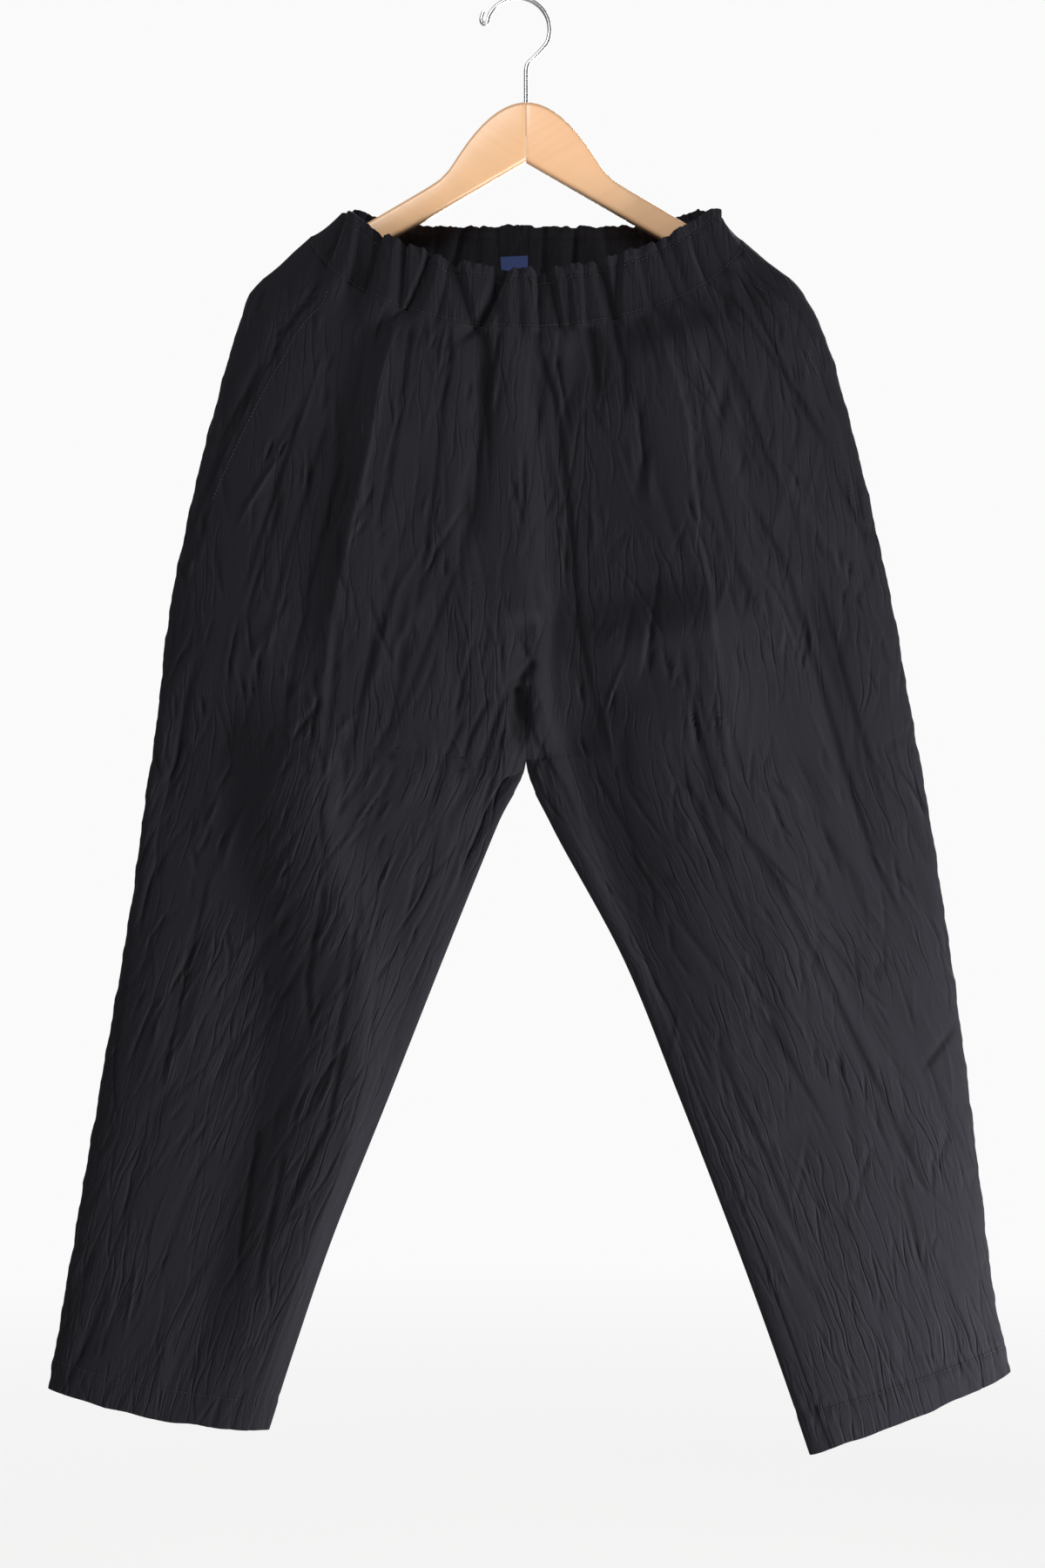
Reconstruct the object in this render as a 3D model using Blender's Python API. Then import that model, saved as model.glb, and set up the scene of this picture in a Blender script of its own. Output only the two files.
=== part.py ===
"""Tapered trousers with a gathered waist, hung on a wooden hanger.

Metres, +Z up. The origin is the point inside the top of the wire hook where
the hanger hangs. The front of the garment faces -Y and the wearer's right leg
lies at -X. Every cloth piece is a thin wall: an outer grid of points worked out
from the section tables and the fold tables, and an inner grid one cloth
thickness further in, joined round the edge.
"""

import math
from collections import namedtuple

import bmesh
import bpy
import numpy as np

# Driving sizes
CENTRE_X = 0.0064
CLOTH = 0.0013
BAND_WALL = 0.0024
SEAM_GAP = 0.0003
HALF_GAP = SEAM_GAP / 2
CLOSE = 1e-6
SMALLEST = 1e-12
WAIST_ROW_GAP = 0.008
CROTCH_ROW = 7
HEM_ROW = 13
CROTCH_CURVE = 0.110
SEAM_SAG_POWER = 1.1
FRONT_TOP_SAG_POWER = 1.7
BACK_TOP_SAG_START = 0.35
BACK_TOP_SAG_SPREAD = 0.55
BAND_LEAN_POWER = 0.75
SAG_END_ROW = 5.0
HEM_BOW_START_ROW = 10.0
SEAM_FADE = 0.016
CROTCH_FADE_START = 0.020
FOLD_HEAD_SHARE = 0.12
FOLD_HEAD_LIFT = 0.35
FOLD_TAIL_SHARE = 0.35
FOLDS_START_ROW = 0.8
PANEL_GATHER_HEIGHT = 0.0012
PANEL_GATHER_END_ROW = 3.2
SEAM_NORMAL_ROWS = 1.0
ANGLE_STEP = 0.004
ROW_STEP = 0.05
SIDE_GATHER_POWER = 0.3
WAIST_FULLNESS = 3.4
LEG_FULLNESS = 2.0
FULLNESS_START_ROW = 2.0
FULLNESS_END_ROW = 6.0

BAND_LEAN = 0.002
BAND_FRONT_HEIGHT = 0.0445
BAND_BACK_HEIGHT = 0.0450
BAND_WAVES = 16
BAND_WAVE_HEIGHT = 0.0021
GATHER_SHIFT = 0.012
GATHER_SHIFT_WAVES = 3.0
GATHER_SWELL = 0.25
GATHER_SWELL_WAVES = 5.0
FRONT_GATHER_PHASES = (0.4, 0.9)
BACK_GATHER_PHASES = (1.7, 2.3)
LABEL_FLAT_WIDTH = 0.014
HEADING_WAVE_LIFT = 0.0016
HEADING_START = 0.6

FRONT_COLUMNS, FRONT_ROWS = 32, 19
BACK_COLUMNS, BACK_ROWS = 26, 15
FACING_COLUMNS = 8
BAND_COLUMNS = 100
BAND_RISES = (1.0, 0.86, 0.45, 0.0)

# (first row, last row, share of the grid's rows)
ROW_STRETCHES = ((0.0, 3.0, 0.26), (3.0, CROTCH_ROW, 0.34), (CROTCH_ROW, HEM_ROW, 0.40))

POCKET_END_ROW = 5.0
POCKET_TUCK = 0.010
POCKET_STOP_SHARE = 0.965
FACING_GAP = 0.0006

HANGER_THICKNESS = 0.012
HANGER_HALF_SPAN = 0.1975
HANGER_CROWN_TOP = -0.080
HANGER_CROWN_BEND = 15.3
HANGER_BOTTOM_APEX = -0.1246
HANGER_SLOPE = 0.58
HANGER_ARM_DEPTH = 0.0231
HANGER_FILLET = 0.006
HANGER_EDGE_ROUND = 0.0028
ARM_TOP_POINTS = 26
ARM_END_POINTS = 9
ARM_TOP_INSET = 0.001

WIRE_RADIUS = 0.0016
HOOK_RADIUS = 0.0245
HOOK_CENTRE_Z = -(HOOK_RADIUS - WIRE_RADIUS)
HOOK_STEM_BOTTOM = -0.104
HOOK_STEM_TOP = -0.055
HOOK_STEM_POINTS = 4
HOOK_ARC_START = -25.0
HOOK_ARC_END = 155.0
HOOK_ARC_POINTS = 18
STEM_HOLE_RADIUS = WIRE_RADIUS + SEAM_GAP
STEM_HOLE_DEPTH = 0.040
STEM_HOLE_FLOOR = 0.001
STEM_HOLE_SIDES = 12

LABEL_WIDTH = 0.023
LABEL_HEIGHT = 0.020
LABEL_THICKNESS = 0.0008
LABEL_CENTRE_X = -0.0035
LABEL_TOP_Z = -0.190
LABEL_STANDOFF = 0.0002
LABEL_COLUMNS, LABEL_ROWS = 6, 4

# One row for each section of a leg, from the waist seam to the hem. inner is the
# centre seam above the crotch and the inseam below it, outer is the side seam.
Section = namedtuple(
    "Section", "name inner_x inner_z back_z outer_x outer_z front_depth back_depth"
)

RIGHT_LEG = [
    Section("waist seam", 0.0064, -0.258, -0.214, -0.159, -0.182, 0.031, 0.026),
    Section("over arm", 0.0064, -0.272, -0.232, -0.181, -0.202, 0.031, 0.025),
    Section("arm end", 0.0064, -0.290, -0.254, -0.204, -0.224, 0.031, 0.024),
    Section("below arm", 0.0064, -0.325, -0.298, -0.217, -0.259, 0.030, 0.022),
    Section("hip", 0.0064, -0.375, -0.354, -0.234, -0.318, 0.026, 0.020),
    Section("seat", 0.0064, -0.440, -0.428, -0.253, -0.395, 0.025, 0.019),
    Section("low seat", 0.0064, -0.510, -0.506, -0.269, -0.477, 0.024, 0.018),
    Section("crotch", 0.0064, -0.586, -0.586, -0.277, -0.550, 0.022, 0.017),
    Section("thigh", -0.0160, -0.636, -0.636, -0.285, -0.604, 0.021, 0.017),
    Section("low thigh", -0.0570, -0.737, -0.737, -0.299, -0.706, 0.020, 0.016),
    Section("knee", -0.0985, -0.842, -0.842, -0.317, -0.811, 0.018, 0.015),
    Section("shin", -0.1420, -0.951, -0.951, -0.336, -0.921, 0.016, 0.014),
    Section("ankle", -0.1705, -1.034, -1.034, -0.3500, -1.004, 0.015, 0.013),
    Section("hem", -0.1915, -1.099, -1.099, -0.361, -1.067, 0.014, 0.012),
]

LEFT_LEG = [
    Section("waist seam", 0.0064, -0.258, -0.214, 0.173, -0.185, 0.031, 0.026),
    Section("over arm", 0.0064, -0.272, -0.232, 0.193, -0.202, 0.031, 0.025),
    Section("arm end", 0.0064, -0.290, -0.254, 0.218, -0.224, 0.031, 0.024),
    Section("below arm", 0.0064, -0.325, -0.298, 0.236, -0.259, 0.030, 0.022),
    Section("hip", 0.0064, -0.375, -0.354, 0.254, -0.318, 0.026, 0.020),
    Section("seat", 0.0064, -0.440, -0.428, 0.273, -0.395, 0.025, 0.019),
    Section("low seat", 0.0064, -0.510, -0.506, 0.2905, -0.477, 0.024, 0.018),
    Section("crotch", 0.0064, -0.586, -0.586, 0.303, -0.550, 0.022, 0.017),
    Section("thigh", 0.0265, -0.636, -0.636, 0.313, -0.604, 0.021, 0.017),
    Section("low thigh", 0.0810, -0.737, -0.737, 0.329, -0.706, 0.020, 0.016),
    Section("knee", 0.1235, -0.842, -0.842, 0.343, -0.806, 0.018, 0.015),
    Section("shin", 0.1655, -0.951, -0.951, 0.356, -0.911, 0.016, 0.014),
    Section("ankle", 0.1965, -1.036, -1.036, 0.3665, -0.995, 0.015, 0.013),
    Section("hem", 0.2250, -1.118, -1.118, 0.379, -1.055, 0.014, 0.012),
]

# The slant pocket's opening: share of the way from the centre to the side seam
# at which the front panel ends, for section rows 0 to POCKET_END_ROW.
PocketPoint = namedtuple("PocketPoint", "row right_share left_share")
POCKET_LINE = [
    PocketPoint(0.0, 0.915, 0.975),
    PocketPoint(1.0, 0.850, 0.955),
    PocketPoint(2.0, 0.830, 0.945),
    PocketPoint(3.0, 0.850, 0.955),
    PocketPoint(4.0, 0.905, 0.965),
    PocketPoint(POCKET_END_ROW, POCKET_STOP_SHARE, POCKET_STOP_SHARE),
]

# The wire's centre line between its stem and its circle, and at its tip.
WirePoint = namedtuple("WirePoint", "place x z")
HOOK_BEND = [
    WirePoint("stem leans", 0.0069, -0.0515),
    WirePoint("bend", 0.0080, -0.0488),
    WirePoint("slope", 0.0124, -0.0444),
    WirePoint("slope top", 0.0178, -0.0386),
]
HOOK_TIP = [
    WirePoint("into hairpin", -0.0228, -0.0154),
    WirePoint("hairpin side", -0.0236, -0.0176),
    WirePoint("hairpin foot", -0.0252, -0.0186),
    WirePoint("hairpin turn", -0.0271, -0.0176),
    WirePoint("hairpin back", -0.0279, -0.0152),
    WirePoint("up the tip", -0.0274, -0.0124),
    WirePoint("tip", -0.0262, -0.0094),
]

# A fold runs through its points. height is above the smooth form (below it when
# negative), inner_width and outer_width are how far it spreads towards the
# centre and away from it.
Fold = namedtuple("Fold", "name height inner_width outer_width points")

FRONT_FOLDS = [
    Fold("right pleat", 0.0065, 0.034, 0.006,
         [(-0.087, -0.235), (-0.103, -0.299), (-0.120, -0.381), (-0.142, -0.482), (-0.150, -0.540)]),
    Fold("right pleat valley", -0.0045, 0.012, 0.022,
         [(-0.108, -0.235), (-0.133, -0.299), (-0.146, -0.381), (-0.164, -0.482), (-0.172, -0.560)]),
    Fold("right centre groove", -0.0038, 0.008, 0.008,
         [(-0.031, -0.245), (-0.027, -0.282), (-0.029, -0.345), (-0.036, -0.405), (-0.048, -0.445)]),
    Fold("left centre groove", -0.0038, 0.008, 0.009,
         [(0.017, -0.240), (0.015, -0.273), (0.033, -0.343), (0.041, -0.409), (0.046, -0.479),
          (0.058, -0.541)]),
    Fold("left pleat", 0.0065, 0.034, 0.006,
         [(0.101, -0.230), (0.116, -0.287), (0.130, -0.355), (0.140, -0.428), (0.154, -0.521)]),
    Fold("left pleat valley", -0.0030, 0.012, 0.020,
         [(0.120, -0.230), (0.142, -0.300), (0.156, -0.370), (0.168, -0.460), (0.180, -0.540)]),
    Fold("right leg valley", -0.0055, 0.034, 0.034,
         [(-0.178, -0.560), (-0.172, -0.690), (-0.190, -0.810), (-0.222, -0.930)]),
    Fold("right inner thigh", 0.0035, 0.020, 0.024,
         [(-0.050, -0.560), (-0.088, -0.690), (-0.132, -0.830)]),
    Fold("left thigh crease", -0.0032, 0.012, 0.014,
         [(0.203, -0.436), (0.222, -0.496), (0.253, -0.602), (0.274, -0.665), (0.305, -0.735)]),
    Fold("left leg ridge", 0.0038, 0.022, 0.014,
         [(0.120, -0.560), (0.194, -0.673), (0.254, -0.793), (0.300, -0.886)]),
    Fold("left shin hollow", -0.0035, 0.026, 0.026,
         [(0.190, -0.820), (0.228, -0.920), (0.262, -1.010)]),
]

BACK_FOLDS = [
    Fold("right seat fold", 0.0040, 0.024, 0.010,
         [(-0.070, -0.235), (-0.088, -0.310), (-0.118, -0.430)]),
    Fold("left seat fold", 0.0042, 0.026, 0.010,
         [(0.092, -0.230), (0.108, -0.315), (0.142, -0.450)]),
    Fold("centre groove", -0.0026, 0.010, 0.012,
         [(0.022, -0.220), (0.026, -0.300), (0.040, -0.390)]),
    Fold("right seat hollow", -0.0035, 0.024, 0.030,
         [(-0.150, -0.330), (-0.165, -0.450), (-0.160, -0.580)]),
    Fold("left seat hollow", -0.0035, 0.026, 0.030,
         [(0.185, -0.340), (0.190, -0.450), (0.170, -0.570)]),
    Fold("right knee break", 0.0032, 0.022, 0.026,
         [(-0.110, -0.640), (-0.180, -0.760), (-0.240, -0.880)]),
    Fold("left knee break", 0.0034, 0.024, 0.024,
         [(0.130, -0.630), (0.200, -0.740), (0.262, -0.850)]),
    Fold("left calf hollow", -0.0030, 0.026, 0.028,
         [(0.200, -0.850), (0.245, -0.960), (0.275, -1.040)]),
]

CLOTH_NAVY = (0.022, 0.023, 0.030, 1.0)
BAND_NAVY = (0.020, 0.021, 0.027, 1.0)
LABEL_NAVY = (0.016, 0.030, 0.110, 1.0)
WOOD_PALE = (0.83, 0.55, 0.30, 1.0)
CHROME = (0.80, 0.80, 0.81, 1.0)

# One side of the garment: its leg, how far the waistband leans in and rises at
# the side seam, and how far the hem bows down between its seams.
Side = namedtuple("Side", "name sign sections band_lean band_rise hem_bow")
RIGHT = Side("right", -1.0, RIGHT_LEG, 0.0235, 0.0235, 0.0050)
LEFT = Side("left", 1.0, LEFT_LEG, 0.0195, 0.0275, 0.0006)


def clear_scene():
    """Removes every object that the file starts with."""
    for item in list(bpy.data.objects):
        bpy.data.objects.remove(item, do_unlink=True)


def smooth_step(t):
    """0 before 0, 1 after 1, with level ends."""
    t = np.clip(t, 0.0, 1.0)
    return t * t * (3.0 - 2.0 * t)


def along(values, row):
    """The value of a table column at a fractional row, on a smooth curve."""
    values = np.asarray(values, float)
    row = np.clip(np.asarray(row, float), 0.0, len(values) - 1.0)
    k = np.minimum(row.astype(int), len(values) - 2)
    f = row - k
    before = values[np.maximum(k - 1, 0)]
    start, end = values[k], values[k + 1]
    after = values[np.minimum(k + 2, len(values) - 1)]
    m0, m1 = (end - before) / 2.0, (after - start) / 2.0
    f2, f3 = f * f, f * f * f
    at_start, at_end = 2 * f3 - 3 * f2 + 1, 3 * f2 - 2 * f3
    return at_start * start + (f3 - 2 * f2 + f) * m0 + at_end * end + (f3 - f2) * m1


def column(sections, name, row):
    """One named column of a section table at a fractional row."""
    return along([getattr(section, name) for section in sections], row)


def oval_fullness(row):
    """How square the section's oval is: fuller where the cloth lies over the hanger."""
    over_arm = 1.0 - smooth_step((row - FULLNESS_START_ROW) / (FULLNESS_END_ROW - FULLNESS_START_ROW))
    return LEG_FULLNESS + (WAIST_FULLNESS - LEG_FULLNESS) * over_arm


def oval_bulge(share, fullness):
    """Depth of an oval as a share of its greatest, from the share of its half width."""
    return (1.0 - np.clip(share, 0.0, 1.0) ** fullness) ** (1.0 / fullness)


def level_normal(share, fullness, reach, depth, sign_x, sign_y):
    """The level unit normal of an oval of half width reach and the given depth."""
    nx = share ** (fullness - 1.0) / reach
    ny = oval_bulge(share, fullness) ** (fullness - 1.0) / depth
    length = np.hypot(nx, ny)
    return np.stack([sign_x * nx / length, sign_y * ny / length, 0.0 * share], axis=-1)


def base_form(side, front, angle, row):
    """The smooth form of a panel. angle runs from 0 at the centre seam or
    inseam to pi/2 at the side seam."""
    inner_x = column(side.sections, "inner_x", row)
    inner_z = column(side.sections, "inner_z" if front else "back_z", row)
    outer_x = column(side.sections, "outer_x", row)
    outer_z = column(side.sections, "outer_z", row)
    depth = column(side.sections, "front_depth" if front else "back_depth", row)
    first = side.sections[0]
    drop = first.outer_z - (first.inner_z if front else first.back_z)

    above = np.clip((inner_z - side.sections[CROTCH_ROW].inner_z) / CROTCH_CURVE, 0.0, 1.0)
    body = np.sqrt(1.0 - (1.0 - above) ** 2) * (row < CROTCH_ROW)
    share = body * np.sin(angle) + (1.0 - body) * (1.0 - np.cos(2.0 * angle)) / 2.0
    bulge = body * oval_bulge(np.sin(angle), oval_fullness(row)) + (1.0 - body) * np.sin(2.0 * angle)

    sag = drop * (1.0 - smooth_step(row / SAG_END_ROW))
    bow = side.hem_bow * smooth_step((row - HEM_BOW_START_ROW) / (HEM_ROW - HEM_BOW_START_ROW))
    x = inner_x + (outer_x - inner_x) * share
    y = (-1.0 if front else 1.0) * depth * bulge
    z = inner_z + (outer_z - inner_z) * share
    z = z - sag * (np.cos(angle) ** SEAM_SAG_POWER - 1.0 + np.sin(angle)) - bow * np.sin(math.pi * share)
    return np.stack([x, y, z], axis=-1)


def outward(side, front, angle, row):
    """Unit normals of the smooth form, pointing out of the garment."""
    low = np.clip(angle - ANGLE_STEP, 0.0, math.pi / 2)
    high = np.clip(angle + ANGLE_STEP, 0.0, math.pi / 2)
    up, down = np.clip(row - ROW_STEP, 0.0, HEM_ROW), np.clip(row + ROW_STEP, 0.0, HEM_ROW)
    across = base_form(side, front, high, row) - base_form(side, front, low, row)
    along_leg = base_form(side, front, angle, down) - base_form(side, front, angle, up)
    normal = np.cross(along_leg, across) * side.sign * (1.0 if front else -1.0)
    reach = np.abs(column(side.sections, "outer_x", row) - CENTRE_X)
    depth = column(side.sections, "front_depth" if front else "back_depth", row)
    face = -1.0 if front else 1.0
    level = level_normal(np.sin(angle), oval_fullness(row), reach, depth, side.sign, face)
    length = np.linalg.norm(normal, axis=-1, keepdims=True)
    normal = np.where(length > SMALLEST, normal / np.maximum(length, SMALLEST), level)
    at_waist = (1.0 - smooth_step(row / SEAM_NORMAL_ROWS))[..., None]
    normal = normal * (1.0 - at_waist) + level * at_waist
    return normal / np.linalg.norm(normal, axis=-1, keepdims=True)


def fold_height(folds, x, z):
    """How far the folds lift the cloth at each (x, z) of the garment's front view."""
    total = np.zeros_like(x)
    for fold in folds:
        points = np.array(fold.points)
        nearest = np.full(x.shape, np.inf)
        side_of = np.zeros_like(x)
        place = np.zeros_like(x)
        lengths = np.linalg.norm(np.diff(points, axis=0), axis=1)
        walked = 0.0
        for (ax, az), (bx, bz), length in zip(points[:-1], points[1:], lengths):
            dx, dz = (bx - ax) / length, (bz - az) / length
            t = np.clip((x - ax) * dx + (z - az) * dz, 0.0, length)
            away_x, away_z = x - ax - t * dx, z - az - t * dz
            distance = np.hypot(away_x, away_z)
            closer = distance < nearest
            nearest = np.where(closer, distance, nearest)
            side_of = np.where(closer, away_x * math.copysign(1.0, ax + bx - 2 * CENTRE_X), side_of)
            place = np.where(closer, walked + t, place)
            walked += length
        width = np.where(side_of > 0, fold.outer_width, fold.inner_width)
        head = smooth_step(place / (FOLD_HEAD_SHARE * walked) + FOLD_HEAD_LIFT)
        tail = smooth_step((walked - place) / (FOLD_TAIL_SHARE * walked))
        total += fold.height * np.exp(-((nearest / width) ** 2)) * head * tail
    return total


def gather(angle, front):
    """The waist gathers round half of the band: -1 to 1, unevenly spaced."""
    shift_phase, swell_phase = FRONT_GATHER_PHASES if front else BACK_GATHER_PHASES
    turn = angle / math.pi
    shift = GATHER_SHIFT * np.sin(2 * math.pi * GATHER_SHIFT_WAVES * turn + shift_phase)
    swell_turn = 2 * math.pi * GATHER_SWELL_WAVES * turn + swell_phase
    swell = 1.0 - GATHER_SWELL + GATHER_SWELL * np.sin(swell_turn)
    return swell * np.cos(2 * math.pi * BAND_WAVES * (turn + shift))


def half_angle(side, angle):
    """A panel's angle as one that runs from the right side seam to the left one."""
    return math.pi / 2 + side.sign * angle


def panel_point(side, front, angle, row, inward=0.0):
    """Points of a panel's outer face, moved in by inward along the smooth form's normals."""
    form = base_form(side, front, angle, row)
    normal = outward(side, front, angle, row)
    to_side = np.abs(column(side.sections, "outer_x", row) - form[..., 0]) / SEAM_FADE
    to_inseam = np.abs(form[..., 0] - column(side.sections, "inner_x", row)) / SEAM_FADE
    crotch_z = side.sections[CROTCH_ROW].inner_z
    over_crotch = smooth_step((form[..., 2] - crotch_z - CROTCH_FADE_START) / CROTCH_CURVE)
    keep = smooth_step(to_side) * np.maximum(smooth_step(to_inseam), over_crotch)
    keep = keep * smooth_step(row / FOLDS_START_ROW)
    height = fold_height(FRONT_FOLDS if front else BACK_FOLDS, form[..., 0], form[..., 2]) * keep
    near_waist = 1.0 - smooth_step(row / PANEL_GATHER_END_ROW)
    wave = gather(half_angle(side, angle), front) * np.cos(angle) ** SIDE_GATHER_POWER
    height = height + PANEL_GATHER_HEIGHT * wave * near_waist
    points = form + normal * (height - inward)[..., None]
    face = -1.0 if front else 1.0
    points[..., 1] = face * np.maximum(face * points[..., 1], HALF_GAP)
    clear = side.sign * np.maximum(side.sign * (points[..., 0] - CENTRE_X), HALF_GAP) + CENTRE_X
    points[..., 0] = np.where(row <= CROTCH_ROW, clear, points[..., 0])
    return points


def new_material(name, colour, roughness, metallic=0.0):
    """A plain Principled material."""
    material = bpy.data.materials.new(name)
    material.use_nodes = True
    shader = material.node_tree.nodes["Principled BSDF"]
    shader.inputs["Base Color"].default_value = colour
    shader.inputs["Roughness"].default_value = roughness
    shader.inputs["Metallic"].default_value = metallic
    return material


def add_mesh(name, points, faces, material):
    """One object from points and faces, its normals pointing out."""
    mesh = bpy.data.meshes.new(name)
    mesh.from_pydata([tuple(p) for p in points], [], faces)
    shape = bmesh.new()
    shape.from_mesh(mesh)
    bmesh.ops.recalc_face_normals(shape, faces=shape.faces)
    bmesh.ops.triangulate(shape, faces=shape.faces, quad_method="SHORT_EDGE")
    shape.to_mesh(mesh)
    shape.free()
    mesh.materials.append(material)
    item = bpy.data.objects.new(name, mesh)
    bpy.context.scene.collection.objects.link(item)
    return item


def wall(name, outer, inner, material):
    """A closed wall between two grids of the same size."""
    rows, columns = outer.shape[:2]
    count = rows * columns
    points = np.concatenate([outer.reshape(-1, 3), inner.reshape(-1, 3)])
    faces = []

    def at(r, c, layer):
        return layer * count + r * columns + c

    for r in range(rows - 1):
        for c in range(columns - 1):
            quad = [(r, c), (r, c + 1), (r + 1, c + 1), (r + 1, c)]
            faces.append([at(*corner, 0) for corner in quad])
            faces.append([at(*corner, 1) for corner in reversed(quad)])
    rim = [(0, c) for c in range(columns)]
    rim += [(r, columns - 1) for r in range(1, rows)]
    rim += [(rows - 1, c) for c in range(columns - 2, -1, -1)]
    rim += [(r, 0) for r in range(rows - 2, 0, -1)]
    for a, b in zip(rim, rim[1:] + rim[:1]):
        faces.append([at(*b, 0), at(*a, 0), at(*a, 1), at(*b, 1)])
    return add_mesh(name, points, faces, material)


def pocket_angle(side, row):
    """The angle of the slant pocket's opening."""
    shares = [getattr(p, f"{side.name}_share") for p in POCKET_LINE]
    return np.arcsin(np.interp(row, [p.row for p in POCKET_LINE], shares))


def leg_rows(count):
    """Section rows of a panel's grid, closer together over the hanger's arms and at the crotch."""
    rows = [WAIST_ROW_GAP]
    for start, end, share in ROW_STRETCHES:
        steps = max(2, round(share * count))
        rows += list(np.linspace(start, end, steps + 1)[1:])
    return np.array(rows)


def make_front(side, material):
    """A front leg, cut away at the slant pocket."""
    rows = leg_rows(FRONT_ROWS)
    u = np.linspace(0.0, 1.0, FRONT_COLUMNS + 1)
    row = np.repeat(rows[:, None], len(u), axis=1)
    edge = np.where(row <= POCKET_END_ROW + CLOSE, pocket_angle(side, row), math.pi / 2)
    angle = u[None, :] * edge
    outer = panel_point(side, True, angle, row)
    inner = panel_point(side, True, angle, row, inward=CLOTH)
    outer[0, :, 2] -= HALF_GAP
    inner[0, :, 2] -= HALF_GAP
    return wall(f"front_{side.name}", outer, inner, material)


def make_back(side, material):
    """A back leg."""
    rows = leg_rows(BACK_ROWS)
    angles = np.linspace(0.0, math.pi / 2, BACK_COLUMNS + 1)
    row, angle = np.meshgrid(rows, angles, indexing="ij")
    outer = panel_point(side, False, angle, row)
    inner = panel_point(side, False, angle, row, inward=CLOTH)
    outer[0, :, 2] -= HALF_GAP
    inner[0, :, 2] -= HALF_GAP
    return wall(f"back_{side.name}", outer, inner, material)


def make_facing(side, material):
    """The side piece under a slant pocket's opening, tucked behind the front panel's edge."""
    grid = leg_rows(FRONT_ROWS)
    last = int(np.searchsorted(grid, POCKET_END_ROW + CLOSE))
    rows = grid[: last + 1]
    u = np.linspace(0.0, 1.0, FACING_COLUMNS + 1)
    row = np.repeat(rows[:, None], len(u), axis=1)
    reach = np.abs(column(side.sections, "outer_x", row) - CENTRE_X)
    start = np.arcsin(np.sin(pocket_angle(side, row)) - POCKET_TUCK / reach)
    end = np.where(row <= POCKET_END_ROW + CLOSE, math.pi / 2, math.asin(POCKET_STOP_SHARE))
    angle = start + (end - start) * u[None, :]
    behind = CLOTH + FACING_GAP
    outer = panel_point(side, True, angle, row, inward=behind)
    inner = panel_point(side, True, angle, row, inward=behind + CLOTH)
    outer[0, :, 2] -= HALF_GAP
    inner[0, :, 2] -= HALF_GAP
    return wall(f"pocket_facing_{side.name}", outer, inner, material)


def band_point(front, turn, rise, inward=0.0, ruffle=True):
    """Points of the waistband. turn runs from 0 at the right side seam to pi at
    the left one, rise from 0 at the waist seam to 1 at the top edge."""
    side_turn = np.abs(turn - math.pi / 2)
    right = turn < math.pi / 2
    first = RIGHT.sections[0]
    seam_centre = first.inner_z if front else first.back_z
    height = BAND_FRONT_HEIGHT if front else BAND_BACK_HEIGHT
    face = -1.0 if front else 1.0
    away = np.where(right, -1.0, 1.0)
    reach, side_z, side_rise = (
        np.where(right, a, b)
        for a, b in (
            [CENTRE_X - RIGHT.sections[0].outer_x - RIGHT.band_lean * rise**BAND_LEAN_POWER,
             LEFT.sections[0].outer_x - CENTRE_X - LEFT.band_lean * rise**BAND_LEAN_POWER],
            [RIGHT.sections[0].outer_z, LEFT.sections[0].outer_z],
            [RIGHT.band_rise, LEFT.band_rise],
        )
    )
    depth = (first.front_depth if front else first.back_depth) - BAND_LEAN * rise
    share = np.sin(side_turn)
    x = CENTRE_X + away * reach * share
    y = face * depth * oval_bulge(share, WAIST_FULLNESS)
    seam_z = side_z - (side_z - seam_centre) * np.cos(side_turn) ** SEAM_SAG_POWER
    side_top = side_z + side_rise
    if front:
        top_sag = np.cos(side_turn) ** FRONT_TOP_SAG_POWER
    else:
        top_sag = smooth_step((np.cos(side_turn) - BACK_TOP_SAG_START) / BACK_TOP_SAG_SPREAD)
    top_z = side_top - (side_top - seam_centre - height) * top_sag
    z = seam_z + rise * (top_z - seam_z)
    normal = level_normal(share, WAIST_FULLNESS, reach, depth, away, face)
    wave = gather(turn, front) * ruffle * np.cos(side_turn) ** SIDE_GATHER_POWER
    if not front:
        wave = wave * (1.0 - np.exp(-(((x - LABEL_CENTRE_X) / LABEL_FLAT_WIDTH) ** 4)))
    lift = (PANEL_GATHER_HEIGHT + (BAND_WAVE_HEIGHT - PANEL_GATHER_HEIGHT) * rise) * wave
    heading = smooth_step((rise - HEADING_START) / (1.0 - HEADING_START))
    points = np.stack([x, y, z + HEADING_WAVE_LIFT * wave * heading], -1)
    points = points + normal * (lift - inward)[..., None]
    points[..., 1] = face * np.maximum(face * points[..., 1], HALF_GAP)
    return points


def make_band(front, material):
    """Half of the gathered waistband, from side seam to side seam."""
    turns = np.linspace(0.0, math.pi, BAND_COLUMNS + 1)
    rise, turn = np.meshgrid(BAND_RISES, turns, indexing="ij")
    outer = band_point(front, turn, rise)
    inner = band_point(front, turn, rise, inward=BAND_WALL)
    outer[-1, :, 2] += HALF_GAP
    inner[-1, :, 2] += HALF_GAP
    return wall("waistband_front" if front else "waistband_back", outer, inner, material)


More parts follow.
